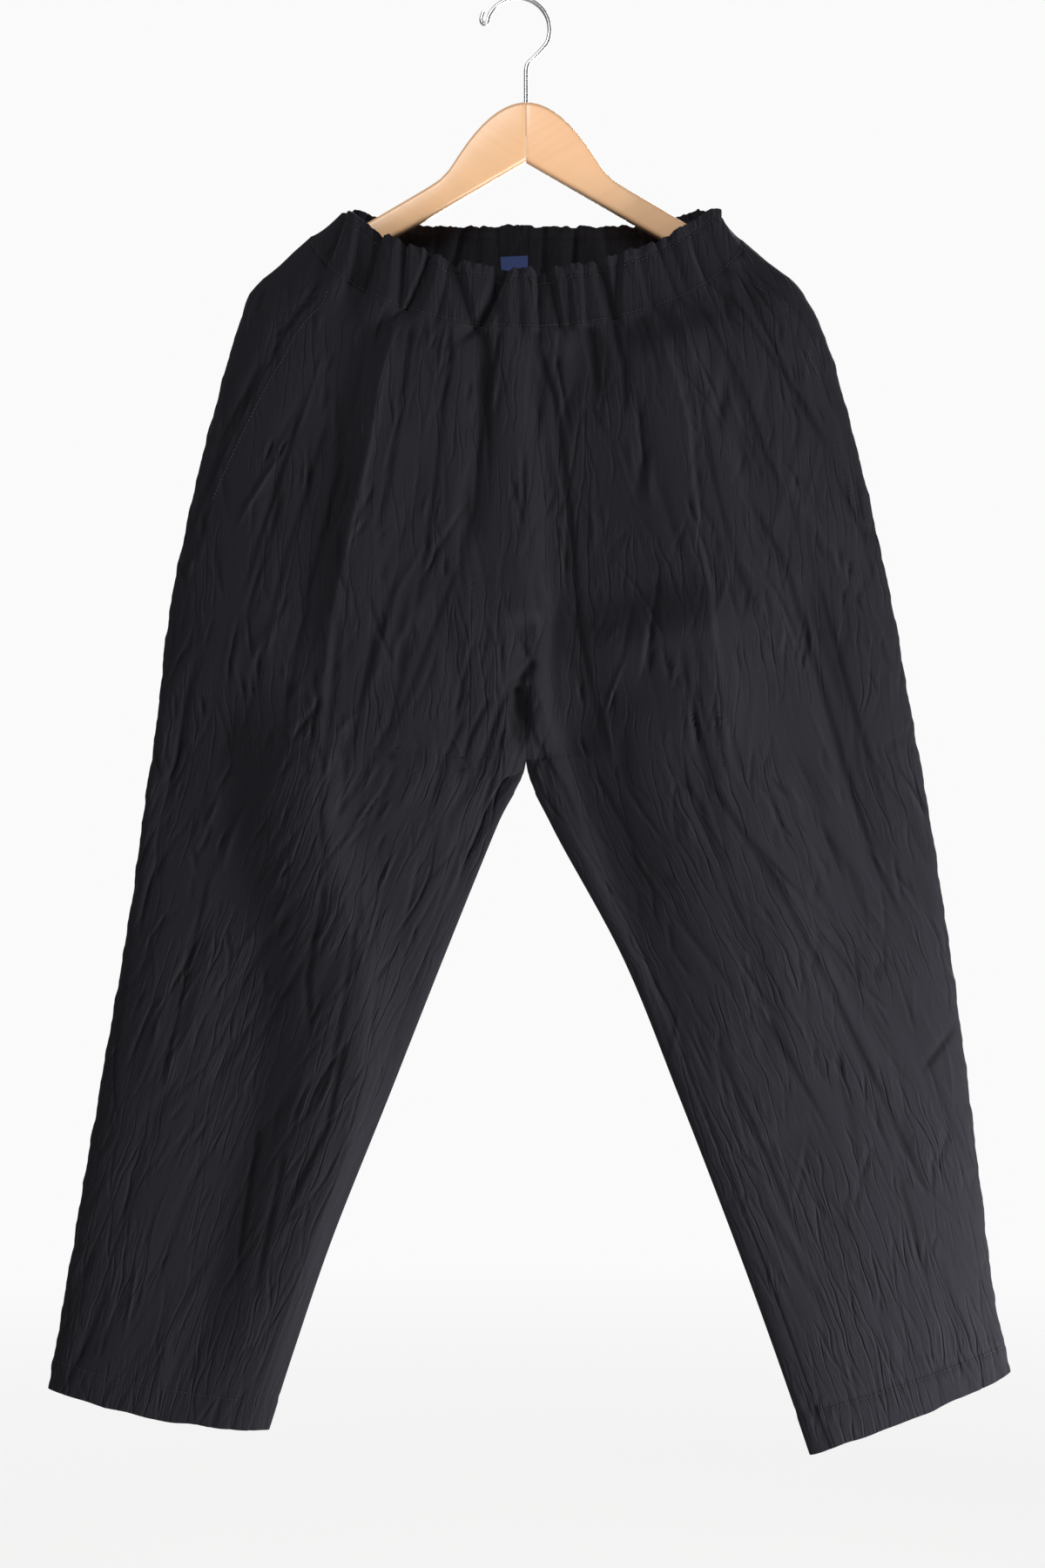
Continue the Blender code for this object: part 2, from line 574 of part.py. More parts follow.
def make_label(material):
    """The small woven label on the inside of the back waistband."""
    reach = CENTRE_X - RIGHT_LEG[0].outer_x
    xs = LABEL_CENTRE_X + LABEL_WIDTH * (np.linspace(0.0, 1.0, LABEL_COLUMNS + 1) - 0.5)
    turn = math.pi / 2 + np.arcsin((xs - CENTRE_X) / reach)
    top_z = band_point(False, turn, np.ones_like(turn), ruffle=False)[:, 2]
    seam_z = band_point(False, turn, np.zeros_like(turn), ruffle=False)[:, 2]
    zs = LABEL_TOP_Z - LABEL_HEIGHT * np.linspace(0.0, 1.0, LABEL_ROWS + 1)
    rise = (zs[:, None] - seam_z[None, :]) / (top_z - seam_z)[None, :]
    turns = np.repeat(turn[None, :], LABEL_ROWS + 1, axis=0)
    proud = BAND_WALL + SEAM_GAP
    outer = band_point(False, turns, rise, inward=proud + LABEL_STANDOFF, ruffle=False)
    inner = band_point(False, turns, rise, inward=proud + LABEL_THICKNESS, ruffle=False)
    return wall("label", outer, inner, material)


def arm_top(dx):
    """Height of a hanger arm's upper edge, dx away from the hanger's centre."""
    crown = HANGER_CROWN_TOP - HANGER_CROWN_BEND * dx * dx
    line = HANGER_BOTTOM_APEX + HANGER_ARM_DEPTH - HANGER_SLOPE * dx
    return (crown + line + np.sqrt((crown - line) ** 2 + HANGER_FILLET**2)) / 2.0


def arm_outline():
    """One arm's outline as (dx, z), up the centre line, over the crown, round the end and back."""
    half_depth = HANGER_ARM_DEPTH / 2.0
    tilt = math.atan(HANGER_SLOPE)
    radius = half_depth * math.cos(tilt)
    end_x = HANGER_HALF_SPAN - radius
    end_z = HANGER_BOTTOM_APEX + half_depth - HANGER_SLOPE * end_x
    top_end = end_x + radius * math.sin(tilt) - ARM_TOP_INSET
    over = [(dx, float(arm_top(dx))) for dx in np.linspace(HALF_GAP, top_end, ARM_TOP_POINTS)]
    turns = np.linspace(math.pi / 2 - tilt, -math.pi / 2 - tilt, ARM_END_POINTS)[1:]
    round_end = [(end_x + radius * math.cos(a), end_z + radius * math.sin(a)) for a in turns]
    return over + round_end + [(HALF_GAP, HANGER_BOTTOM_APEX - HANGER_SLOPE * HALF_GAP)]


def make_stem_cutter():
    """The hole for the hook's stem, kept out of the model."""
    bpy.ops.mesh.primitive_cylinder_add(
        vertices=STEM_HOLE_SIDES,
        radius=STEM_HOLE_RADIUS,
        depth=STEM_HOLE_DEPTH,
        location=(CENTRE_X, 0.0, HOOK_STEM_BOTTOM - STEM_HOLE_FLOOR + STEM_HOLE_DEPTH / 2),
    )
    cutter = bpy.context.active_object
    cutter.name = "stem_hole"
    cutter.hide_render = True
    cutter.display_type = "WIRE"
    return cutter


def make_arm(side, material, cutter):
    """One wooden arm: its outline given a thickness, with rounded edges."""
    outline = arm_outline()
    half = HANGER_THICKNESS / 2.0
    shape = bmesh.new()
    ring = [shape.verts.new((side.sign * dx, -half, z)) for dx, z in outline]
    face = shape.faces.new(ring)
    swept = bmesh.ops.extrude_face_region(shape, geom=[face])
    moved = [v for v in swept["geom"] if isinstance(v, bmesh.types.BMVert)]
    bmesh.ops.translate(shape, verts=moved, vec=(0.0, HANGER_THICKNESS, 0.0))
    rims = []
    for edge in shape.edges:
        (a, b) = edge.verts
        flat = abs(abs(a.co.y) - half) < CLOSE and abs(a.co.y - b.co.y) < CLOSE
        at_centre = abs(a.co.x) < 2 * HALF_GAP and abs(b.co.x) < 2 * HALF_GAP
        if flat and not at_centre:
            rims.append(edge)
    bmesh.ops.bevel(
        shape,
        geom=rims,
        offset=HANGER_EDGE_ROUND,
        segments=2,
        profile=0.5,
        affect="EDGES",
        clamp_overlap=True,
    )
    bmesh.ops.recalc_face_normals(shape, faces=shape.faces)
    mesh = bpy.data.meshes.new(f"hanger_arm_{side.name}")
    shape.to_mesh(mesh)
    shape.free()
    mesh.materials.append(material)
    arm = bpy.data.objects.new(f"hanger_arm_{side.name}", mesh)
    bpy.context.scene.collection.objects.link(arm)
    arm.location.x = CENTRE_X
    hole = arm.modifiers.new("stem hole", "BOOLEAN")
    hole.operation = "DIFFERENCE"
    hole.object = cutter
    return arm


def hook_route():
    """The wire's centre line as (x, z): stem, bend, half a circle and the hairpin at its tip."""
    stem = [(CENTRE_X, z) for z in np.linspace(HOOK_STEM_BOTTOM, HOOK_STEM_TOP, HOOK_STEM_POINTS)]
    bend = [(point.x, point.z) for point in HOOK_BEND]
    turns = np.radians(np.linspace(HOOK_ARC_START, HOOK_ARC_END, HOOK_ARC_POINTS))
    arc = [(HOOK_RADIUS * math.cos(a), HOOK_CENTRE_Z + HOOK_RADIUS * math.sin(a)) for a in turns]
    tip = [(point.x, point.z) for point in HOOK_TIP]
    return stem + bend + arc + tip


def make_hook(material):
    """The bent wire hook."""
    curve = bpy.data.curves.new("hanger_hook", "CURVE")
    curve.dimensions = "3D"
    curve.bevel_depth = WIRE_RADIUS
    curve.bevel_resolution = 2
    curve.use_fill_caps = True
    spline = curve.splines.new("POLY")
    route = hook_route()
    spline.points.add(len(route) - 1)
    for point, (x, z) in zip(spline.points, route):
        point.co = (x, 0.0, z, 1.0)
    curve.materials.append(material)
    hook = bpy.data.objects.new("hanger_hook", curve)
    bpy.context.scene.collection.objects.link(hook)
    return hook


def main():
    """Builds the garment, its label and its hanger."""
    clear_scene()
    cloth = new_material("navy cotton", CLOTH_NAVY, 0.85)
    band = new_material("navy cotton, gathered", BAND_NAVY, 0.85)
    woven = new_material("woven label", LABEL_NAVY, 0.7)
    wood = new_material("pale wood", WOOD_PALE, 0.45)
    chrome = new_material("chromed wire", CHROME, 0.12, 1.0)
    for side in (RIGHT, LEFT):
        make_front(side, cloth)
        make_back(side, cloth)
        make_facing(side, cloth)
    for front in (True, False):
        make_band(front, band)
    make_label(woven)
    cutter = make_stem_cutter()
    for side in (RIGHT, LEFT):
        make_arm(side, wood, cutter)
    make_hook(chrome)


if __name__ == "__main__":
    main()
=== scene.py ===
"""Looks for the tapered trousers on a wooden hanger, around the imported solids.

Metres, +Z up, the front of the garment faces -Y. Cloth is worked out on the same
smooth form as the solids, with finer folds, creases, gathers, seams and stitches.
"""

import logging  # noqa: E402
import math  # noqa: E402
from dataclasses import dataclass, field  # noqa: E402
from enum import Enum  # noqa: E402

import bmesh  # noqa: E402
import bpy  # noqa: E402
import numpy as np  # noqa: E402
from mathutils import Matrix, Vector  # noqa: E402

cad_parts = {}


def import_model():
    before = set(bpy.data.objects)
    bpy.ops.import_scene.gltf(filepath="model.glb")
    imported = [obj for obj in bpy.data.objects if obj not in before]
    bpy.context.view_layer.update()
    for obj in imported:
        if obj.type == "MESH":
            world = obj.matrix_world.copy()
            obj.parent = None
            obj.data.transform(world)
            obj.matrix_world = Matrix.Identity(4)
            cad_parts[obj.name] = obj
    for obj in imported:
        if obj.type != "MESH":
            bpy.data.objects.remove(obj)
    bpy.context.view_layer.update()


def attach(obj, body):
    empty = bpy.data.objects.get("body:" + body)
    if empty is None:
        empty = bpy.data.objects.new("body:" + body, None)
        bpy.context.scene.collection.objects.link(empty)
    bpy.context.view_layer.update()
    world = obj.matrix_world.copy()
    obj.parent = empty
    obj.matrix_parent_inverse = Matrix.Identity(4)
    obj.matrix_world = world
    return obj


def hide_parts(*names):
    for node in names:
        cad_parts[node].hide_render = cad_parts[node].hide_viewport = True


LOG = logging.getLogger("trousers")
MM = 0.001
BODY = "root"
FULL_TURN = 2.0 * math.pi
HALF_TURN = math.pi
QUARTER_TURN = math.pi / 2

# The centre seams' place, the section rows at the crotch and the hem, and the
# sharpest angle that a wall's rim is shaded smooth over.
CENTRE_X = 0.0064
CROTCH_ROW = 7
HEM_ROW = 13
RIM_ANGLE = math.radians(58.0)

Array = np.ndarray
Colour = tuple[float, float, float, float]
Material = bpy.types.Material
Piece = bpy.types.Object
Triple = tuple[float, float, float]


class Face(Enum):
    """Which side of the garment a piece of cloth is on."""

    FRONT = -1.0
    BACK = 1.0


@dataclass(frozen=True)
class Section:
    """One level section of a leg, from the centre seam or inseam to the side seam."""

    name: str
    inner_x: float
    inner_z: float
    back_z: float
    outer_x: float
    outer_z: float
    front_depth: float
    back_depth: float


@dataclass(frozen=True)
class Fold:
    """A soft fold or crease through points in millimetres of the front view.

    height is above the smooth form, below it when negative; the widths are how far
    it spreads towards the centre and away from it.
    """

    height: float
    inner_width: float
    outer_width: float
    points: tuple[tuple[float, float], ...]

    @classmethod
    def read(cls, regions: dict[str, tuple[tuple[float, ...], ...]]) -> "tuple[Fold, ...]":
        """The folds of a table.

        Args:
            regions: rows under a name; a row is a height, two widths and its points' x and z.

        Returns:
            One fold for each row.
        """
        return tuple(cls(*row[:3], tuple(zip(row[3::2], row[4::2])))
                     for rows in regions.values() for row in rows)


@dataclass(frozen=True)
class Gather:
    """One gather's valley: its place, lean, depth and width, and its tail below the seam."""

    place: float
    lean: float
    depth: float
    width: float
    tail: float


RIGHT_SECTIONS = (
    Section("waist seam", 0.0064, -0.258, -0.214, -0.159, -0.182, 0.031, 0.026),
    Section("over arm", 0.0064, -0.272, -0.232, -0.181, -0.202, 0.031, 0.025),
    Section("arm end", 0.0064, -0.290, -0.254, -0.204, -0.224, 0.031, 0.024),
    Section("below arm", 0.0064, -0.325, -0.298, -0.217, -0.259, 0.030, 0.022),
    Section("hip", 0.0064, -0.375, -0.354, -0.234, -0.318, 0.026, 0.020),
    Section("seat", 0.0064, -0.440, -0.428, -0.253, -0.395, 0.025, 0.019),
    Section("low seat", 0.0064, -0.510, -0.506, -0.269, -0.477, 0.024, 0.018),
    Section("crotch", 0.0064, -0.586, -0.586, -0.277, -0.550, 0.022, 0.017),
    Section("thigh", -0.0160, -0.636, -0.636, -0.285, -0.604, 0.021, 0.017),
    Section("low thigh", -0.0570, -0.737, -0.737, -0.299, -0.706, 0.020, 0.016),
    Section("knee", -0.0985, -0.842, -0.842, -0.317, -0.811, 0.018, 0.015),
    Section("shin", -0.1420, -0.951, -0.951, -0.336, -0.921, 0.016, 0.014),
    Section("ankle", -0.1705, -1.034, -1.034, -0.3500, -1.004, 0.015, 0.013),
    Section("hem", -0.1915, -1.099, -1.099, -0.361, -1.067, 0.014, 0.012),
)

LEFT_SECTIONS = (
    Section("waist seam", 0.0064, -0.258, -0.214, 0.173, -0.185, 0.031, 0.026),
    Section("over arm", 0.0064, -0.272, -0.232, 0.193, -0.202, 0.031, 0.025),
    Section("arm end", 0.0064, -0.290, -0.254, 0.218, -0.224, 0.031, 0.024),
    Section("below arm", 0.0064, -0.325, -0.298, 0.236, -0.259, 0.030, 0.022),
    Section("hip", 0.0064, -0.375, -0.354, 0.254, -0.318, 0.026, 0.020),
    Section("seat", 0.0064, -0.440, -0.428, 0.273, -0.395, 0.025, 0.019),
    Section("low seat", 0.0064, -0.510, -0.506, 0.2905, -0.477, 0.024, 0.018),
    Section("crotch", 0.0064, -0.586, -0.586, 0.303, -0.550, 0.022, 0.017),
    Section("thigh", 0.0265, -0.636, -0.636, 0.313, -0.604, 0.021, 0.017),
    Section("low thigh", 0.0810, -0.737, -0.737, 0.329, -0.706, 0.020, 0.016),
    Section("knee", 0.1235, -0.842, -0.842, 0.343, -0.806, 0.018, 0.015),
    Section("shin", 0.1655, -0.951, -0.951, 0.356, -0.911, 0.016, 0.014),
    Section("ankle", 0.1965, -1.036, -1.036, 0.3665, -0.995, 0.015, 0.013),
    Section("hem", 0.2250, -1.118, -1.118, 0.379, -1.055, 0.014, 0.012),
)

# Large soft folds, the same as the solids' and then finer ones. A row is a height, an
# inner and an outer width, and then x and z of each point, all in millimetres.
FRONT_FOLDS = Fold.read({
    "right pleat and its valley": (
        (6.5, 34, 11, -87, -235, -103, -299, -120, -381, -142, -482, -150, -540),
        (-3.2, 14, 26, -108, -235, -133, -299, -146, -381, -164, -482, -172, -560),
    ),
    "centre grooves": (
        (-4.2, 10, 10, -31, -245, -27, -282, -29, -345, -36, -405, -48, -445),
        (-8.5, 12, 40, 12, -240, 10, -273, 20, -343, 26, -409, 28, -479, 32, -540, 48, -610,
         76, -680, 110, -760, 142, -840),
    ),
    "left pleat": (
        (11.0, 40, 60, 101, -230, 116, -287, 130, -355, 140, -428, 154, -521, 168, -590),
    ),
    "crotch hollow": (
        (-5.0, 16, 12, 6, -470, 3, -530, 2, -580),
    ),
    "right leg's valley and ridge": (
        (-7.0, 26, 64, -224, -500, -224, -636, -200, -737, -202, -837, -218, -904, -238, -985,
         -258, -1060, -284, -1160),
        (10.5, 18, 48, -150, -520, -152, -636, -120, -737, -126, -837, -142, -904, -166, -985,
         -188, -1060, -216, -1160),
    ),
    "left inner thigh, thigh crease and inner roll": (
        (7.5, 54, 34, 128, -440, 150, -540, 172, -610, 190, -690, 212, -780, 232, -860),
        (-4.2, 12, 18, 203, -436, 222, -496, 253, -602, 274, -665, 305, -735),
        (6.0, 34, 70, 70, -460, 86, -540, 104, -610, 130, -690, 160, -780),
    ),
    "left leg's ridge and shin hollow": (
        (1.4, 26, 16, 190, -660, 254, -793, 300, -886),
        (-1.6, 24, 24, 196, -860, 218, -930, 242, -1010),
    ),
})

BACK_FOLDS = Fold.read({
    "seat folds and centre groove": (
        (4.0, 24, 10, -70, -235, -88, -310, -118, -430),
        (4.2, 26, 10, 92, -230, 108, -315, 142, -450),
        (-2.6, 10, 12, 22, -220, 26, -300, 40, -390),
    ),
    "seat hollows": (
        (-3.5, 24, 30, -150, -330, -165, -450, -160, -580),
        (-3.5, 26, 30, 185, -340, 190, -450, 170, -570),
    ),
    "knee breaks": (
        (3.2, 22, 26, -110, -640, -180, -760, -240, -880),
        (3.4, 24, 24, 130, -630, 200, -740, 262, -850),
    ),
    "left calf hollow": (
        (-3.0, 26, 28, 200, -850, 245, -960, 275, -1040),
    ),
})

# Main creases, in rows like the folds', but narrow.
FRONT_CREASES = Fold.read({
    "pleat edges": (
        (1.4, 3.2, 1.8, -87, -241, -103, -299, -111, -344, -120, -381, -134, -442, -142, -482,
         -149, -536, -156, -590, -155, -640),
        (1.4, 3.2, 1.8, 101, -236, 107, -262, 116, -287, 128, -327, 132, -377, 140, -428, 148, -490,
         154, -521, 166, -580),
    ),
    "below the centre of the waist": (
        (-1.6, 2.6, 2.2, -31, -250, -27, -282, -29, -345, -33, -395, -46, -430),
        (-1.6, 2.6, 2.2, 17, -214, 15, -273, 28, -309, 33, -343, 41, -409, 46, -479, 58, -541,
         72, -600),
        (-2.4, 3.0, 3.0, 52, -252, 57, -280, 62, -318),
        (-2.0, 3.0, 2.6, -26, -252, -22, -300, -26, -345),
        (-1.6, 2.6, 2.6, 72, -246, 80, -290, 82, -330),
        (-1.1, 2.6, 2.4, -80, -255, -93, -348, -104, -402, -108, -440),
        (-1.0, 2.4, 2.4, -50, -248, -63, -375, -77, -469, -98, -540),
        (-1.0, 2.2, 2.4, -13, -255, -23, -315, -22, -380),
    ),
    "right thigh, upper": (
        (-1.2, 2.6, 2.4, -134, -462, -144, -570, -150, -623, -142, -680),
        (-1.0, 2.4, 2.4, -104, -469, -124, -563, -140, -623),
        (-1.0, 2.4, 2.4, -77, -469, -97, -556, -130, -623),
        (-0.9, 2.2, 2.2, -43, -429, -84, -536, -110, -600),
    ),
    "right hip": (
        (-1.1, 2.2, 2.4, -164, -315, -197, -415, -214, -470),
        (-1.0, 2.2, 2.4, -144, -322, -177, -429, -196, -500),
        (-0.9, 2.2, 2.2, -178, -375, -217, -509),
        (-1.0, 2.2, 2.4, -130, -345, -158, -450, -176, -540, -178, -600),
    ),
    "crotch": (
        (-2.6, 4.0, 2.0, 13, -506, 4, -520, -4, -534, -5, -552, -3, -572),
        (-1.8, 2.6, 1.8, -2, -520, -14, -545, -26, -580, -32, -612),
        (-1.3, 2.2, 1.8, 2, -548, 12, -566, 34, -606, 52, -650),
        (-1.5, 2.2, 1.8, -20, -534, -36, -566, -50, -612),
        (-1.3, 2.2, 1.6, -40, -548, -58, -590, -72, -640),
        (-1.5, 2.2, 1.6, -10, -556, -20, -600, -34, -650),
        (-5.5, 8.0, 3.4, -2, -526, -1, -545, 2, -566, 5, -582),
    ),
    "right leg": (
        (-1.2, 2.4, 2.8, -144, -670, -160, -750, -157, -811),
        (-1.1, 2.4, 2.6, -117, -677, -137, -791, -150, -844),
        (-1.3, 2.4, 2.8, -130, -791, -147, -864, -170, -911, -190, -960),
        (-1.1, 2.4, 2.6, -197, -858, -217, -992),
        (-1.0, 2.4, 2.6, -177, -878, -204, -1005),
        (-1.0, 2.2, 2.4, -237, -670, -278, -858),
        (-0.9, 2.2, 2.4, -298, -724, -318, -871),
    ),
    "left thigh and knee": (
        (-1.5, 2.6, 2.4, 168, -375, 203, -436, 222, -496, 253, -602, 274, -665, 311, -745),
        (-1.4, 2.6, 2.4, 124, -509, 146, -604, 194, -673, 254, -793, 299, -886, 331, -950),
        (-1.1, 2.4, 2.4, 186, -777, 234, -862),
        (-1.3, 2.6, 2.4, 338, -786, 306, -826),
    ),
    "left hip": (
        (-1.1, 2.4, 2.2, 158, -228, 184, -268, 218, -315, 242, -352),
        (-1.0, 2.4, 2.2, 171, -221, 208, -302, 245, -362),
        (-1.1, 2.4, 2.2, 138, -241, 171, -308, 185, -348, 216, -410),
        (-1.0, 2.2, 2.2, 131, -281, 148, -375, 164, -436, 198, -509),
    ),
    "left leg": (
        (-1.0, 2.2, 2.4, 225, -436, 265, -576, 285, -643),
        (-1.0, 2.4, 2.2, 57, -590, 84, -643, 98, -690),
        (-0.9, 2.4, 2.4, 150, -800, 190, -890, 228, -985),
        (-0.8, 2.2, 2.4, 290, -900, 316, -1000),
    ),
})

BACK_CREASES = Fold.read({
    "seat": (
        (-1.4, 2.6, 2.2, -70, -225, -92, -330, -120, -440, -128, -520),
        (-1.4, 2.6, 2.2, 90, -225, 112, -330, 140, -440, 166, -520),
        (-1.1, 2.4, 2.2, 24, -225, 30, -300, 46, -400, 60, -480),
        (-1.1, 2.4, 2.2, -24, -225, -34, -310, -44, -400),
    ),
    "under the seat": (
        (-1.0, 4.0, 5.0, 0, -548, -30, -582, -72, -628, -104, -668),
        (-1.0, 4.0, 5.0, 14, -548, 48, -588, 92, -634, 136, -690),
    ),
    "knees": (
        (-1.2, 2.4, 2.6, -130, -740, -190, -815, -250, -860),
        (-1.2, 2.4, 2.6, 150, -730, 210, -800, 280, -852),
    ),
    "calves": (
        (-1.0, 2.4, 2.6, -190, -850, -222, -950, -244, -1010),
        (-1.0, 2.4, 2.6, 215, -840, 250, -930, 276, -1030),
    ),
})

# Valleys between the waistband's puffs: place and lean to the wearer's left, depth,
# width, and how far each runs on below the seam, in millimetres.
FRONT_GATHERS = tuple(Gather(*row) for row in (
    (-161, 16, 3.0, 5.0, 20), (-147, 24, 3.6, 4.2, 34), (-128, 9, 5.6, 7.2, 80),
    (-106, 20, 4.0, 4.0, 45), (-85, -12, 4.0, 4.0, 40), (-68, 2, 1.8, 3.6, 22),
    (-61, 39, 5.8, 6.4, 90), (-27, 12, 1.6, 3.6, 24), (-16, -34, 5.0, 4.8, 60),
    (-6, 6, 1.8, 4.0, 24), (10, 0, 5.4, 5.0, 100), (21, 9, 3.6, 4.6, 60), (36, -3, 1.8, 3.6, 20),
    (49, -5, 3.2, 4.4, 42), (65, 6, 5.0, 4.2, 72), (80, -22, 2.6, 4.0, 24), (95, 3, 2.4, 5.0, 34),
    (112, 8, 3.4, 4.6, 30), (123, 4, 1.8, 5.0, 22), (139, 0, 3.4, 5.0, 42), (152, 3, 3.4, 5.0, 30),
))

BACK_GATHERS = tuple(Gather(*row) for row in (
    (-160, 6, 3.0, 4.8, 22), (-144, -14, 4.6, 4.4, 52), (-131, 5, 2.0, 3.6, 20),
    (-112, 10, 5.6, 6.6, 84), (-93, -4, 2.6, 4.0, 26), (-82, 12, 4.4, 4.4, 48),
    (-58, -10, 5.4, 5.8, 70), (-45, 4, 1.8, 3.6, 22), (-27, 14, 4.8, 4.6, 58),
    (15, -8, 5.2, 5.0, 92), (29, 5, 2.0, 3.8, 24), (43, -16, 4.0, 4.4, 40), (66, 6, 5.6, 6.2, 76),
    (79, -4, 2.2, 4.0, 22), (97, 12, 4.2, 4.6, 44), (112, -6, 5.0, 5.2, 62), (131, 8, 2.4, 4.0, 26),
    (143, -5, 4.2, 4.8, 46), (158, 4, 2.8, 4.6, 24),
))

FOLDS = {Face.FRONT: FRONT_FOLDS, Face.BACK: BACK_FOLDS}
CREASES = {Face.FRONT: FRONT_CREASES, Face.BACK: BACK_CREASES}
GATHERS = {Face.FRONT: FRONT_GATHERS, Face.BACK: BACK_GATHERS}


def smooth_step(t: Array) -> Array:
    """0 before 0, 1 after 1, with level ends."""
    t = np.clip(t, 0.0, 1.0)
    return t * t * (3.0 - 2.0 * t)


def bell(distance: Array, width: Array) -> Array:
    """A soft bump of height 1 that fades over the given width."""
    return np.exp(-((distance / width) ** 2))


def along(values: list[float], row: Array) -> Array:
    """The value of a table column at a fractional row, on a smooth curve.

    Args:
        values: one number for each row of the table.
        row: fractional rows.

    Returns:
        The interpolated values, in the shape of row.
    """
    table = np.asarray(values, float)
    row = np.clip(np.asarray(row, float), 0.0, len(table) - 1.0)
    k = np.minimum(row.astype(int), len(table) - 2)
    f = row - k
    start, end = table[k], table[k + 1]
    m0 = (end - table[np.maximum(k - 1, 0)]) / 2.0
    m1 = (table[np.minimum(k + 2, len(table) - 1)] - start) / 2.0
    f2, f3 = f * f, f * f * f
    at_start, at_end = 2 * f3 - 3 * f2 + 1, 3 * f2 - 2 * f3
    return at_start * start + (f3 - 2 * f2 + f) * m0 + at_end * end + (f3 - f2) * m1


def beyond(values: Array, sign: float, edge: float = 0.0) -> Array:
    """Values held on the given side of an edge."""
    return sign * np.maximum(sign * (values - edge), 0.0) + edge


def wavy(place: Array, pitch: float, seed: int) -> Array:
    """A smooth uneven wave from -1 to 1 along a line.

    Args:
        place: distances along the line.
        pitch: the mean spacing of its bumps.
        seed: picks one wave.

    Returns:
        The wave's height at each place.
    """
    phases = np.random.default_rng(seed).uniform(0.0, FULL_TURN, 4)
    total = np.zeros_like(place)
    for k, (share, phase) in enumerate(zip((1.0, 0.63, 1.71, 0.37), phases)):
        total = total + np.sin(FULL_TURN * place / (pitch / share) + phase) / (1.0 + 0.5 * k)
    return total / 2.6


def stroke_distance(points: Array, x: Array, z: Array) -> tuple[Array, ...]:
    """How each place lies against a line of points.

    Args:
        points: the line's points, two numbers each.
        x: the places' first coordinate.
        z: the places' second coordinate.

    Returns:
        Distance to the line, signed sideways offset, and share of the way along it.
    """
    nearest = np.full(x.shape, np.inf)
    offset = np.zeros_like(x)
    place = np.zeros_like(x)
    steps = np.diff(points, axis=0)
    lengths = np.linalg.norm(steps, axis=1)
    walked = 0.0
    for (ax, az), (dx, dz), length in zip(points[:-1], steps, lengths):
        ux, uz = dx / length, dz / length
        t = np.clip((x - ax) * ux + (z - az) * uz, 0.0, length)
        away_x, away_z = x - ax - t * ux, z - az - t * uz
        distance = np.hypot(away_x, away_z)
        closer = distance < nearest
        nearest = np.where(closer, distance, nearest)
        offset = np.where(closer, away_x, offset)
        place = np.where(closer, walked + t, place)
        walked += length
    return nearest, offset, place / walked


@dataclass
class FoldShape:
    """How a fold fades in and out along its line, with some height where it leaves the waist."""

    head_share: float = 0.12
    waist_lift: float = 0.35
    waist_line: float = -0.262
    tail_share: float = 0.35

    def height(self, folds: tuple[Fold, ...], x: Array, z: Array) -> Array:
        """How far the folds lift the cloth.

        Args:
            folds: the table of folds.
            x: places across the front view, in metres.
            z: places up the front view, in metres.

        Returns:
            Heights in metres.
        """
        total = np.zeros_like(x)
        for fold in folds:
            points = np.array(fold.points) * MM
            nearest, offset, share = stroke_distance(points, x, z)
            outside = offset * math.copysign(1.0, points[:, 0].mean() - CENTRE_X) > 0
            width = np.where(outside, fold.outer_width, fold.inner_width) * MM
            lift = self.waist_lift if points[0, 1] > self.waist_line else 0.0
            head = smooth_step(share / self.head_share + lift)
            tail = smooth_step((1.0 - share) / self.tail_share)
            total += fold.height * MM * bell(nearest, width) * head * tail
        return total


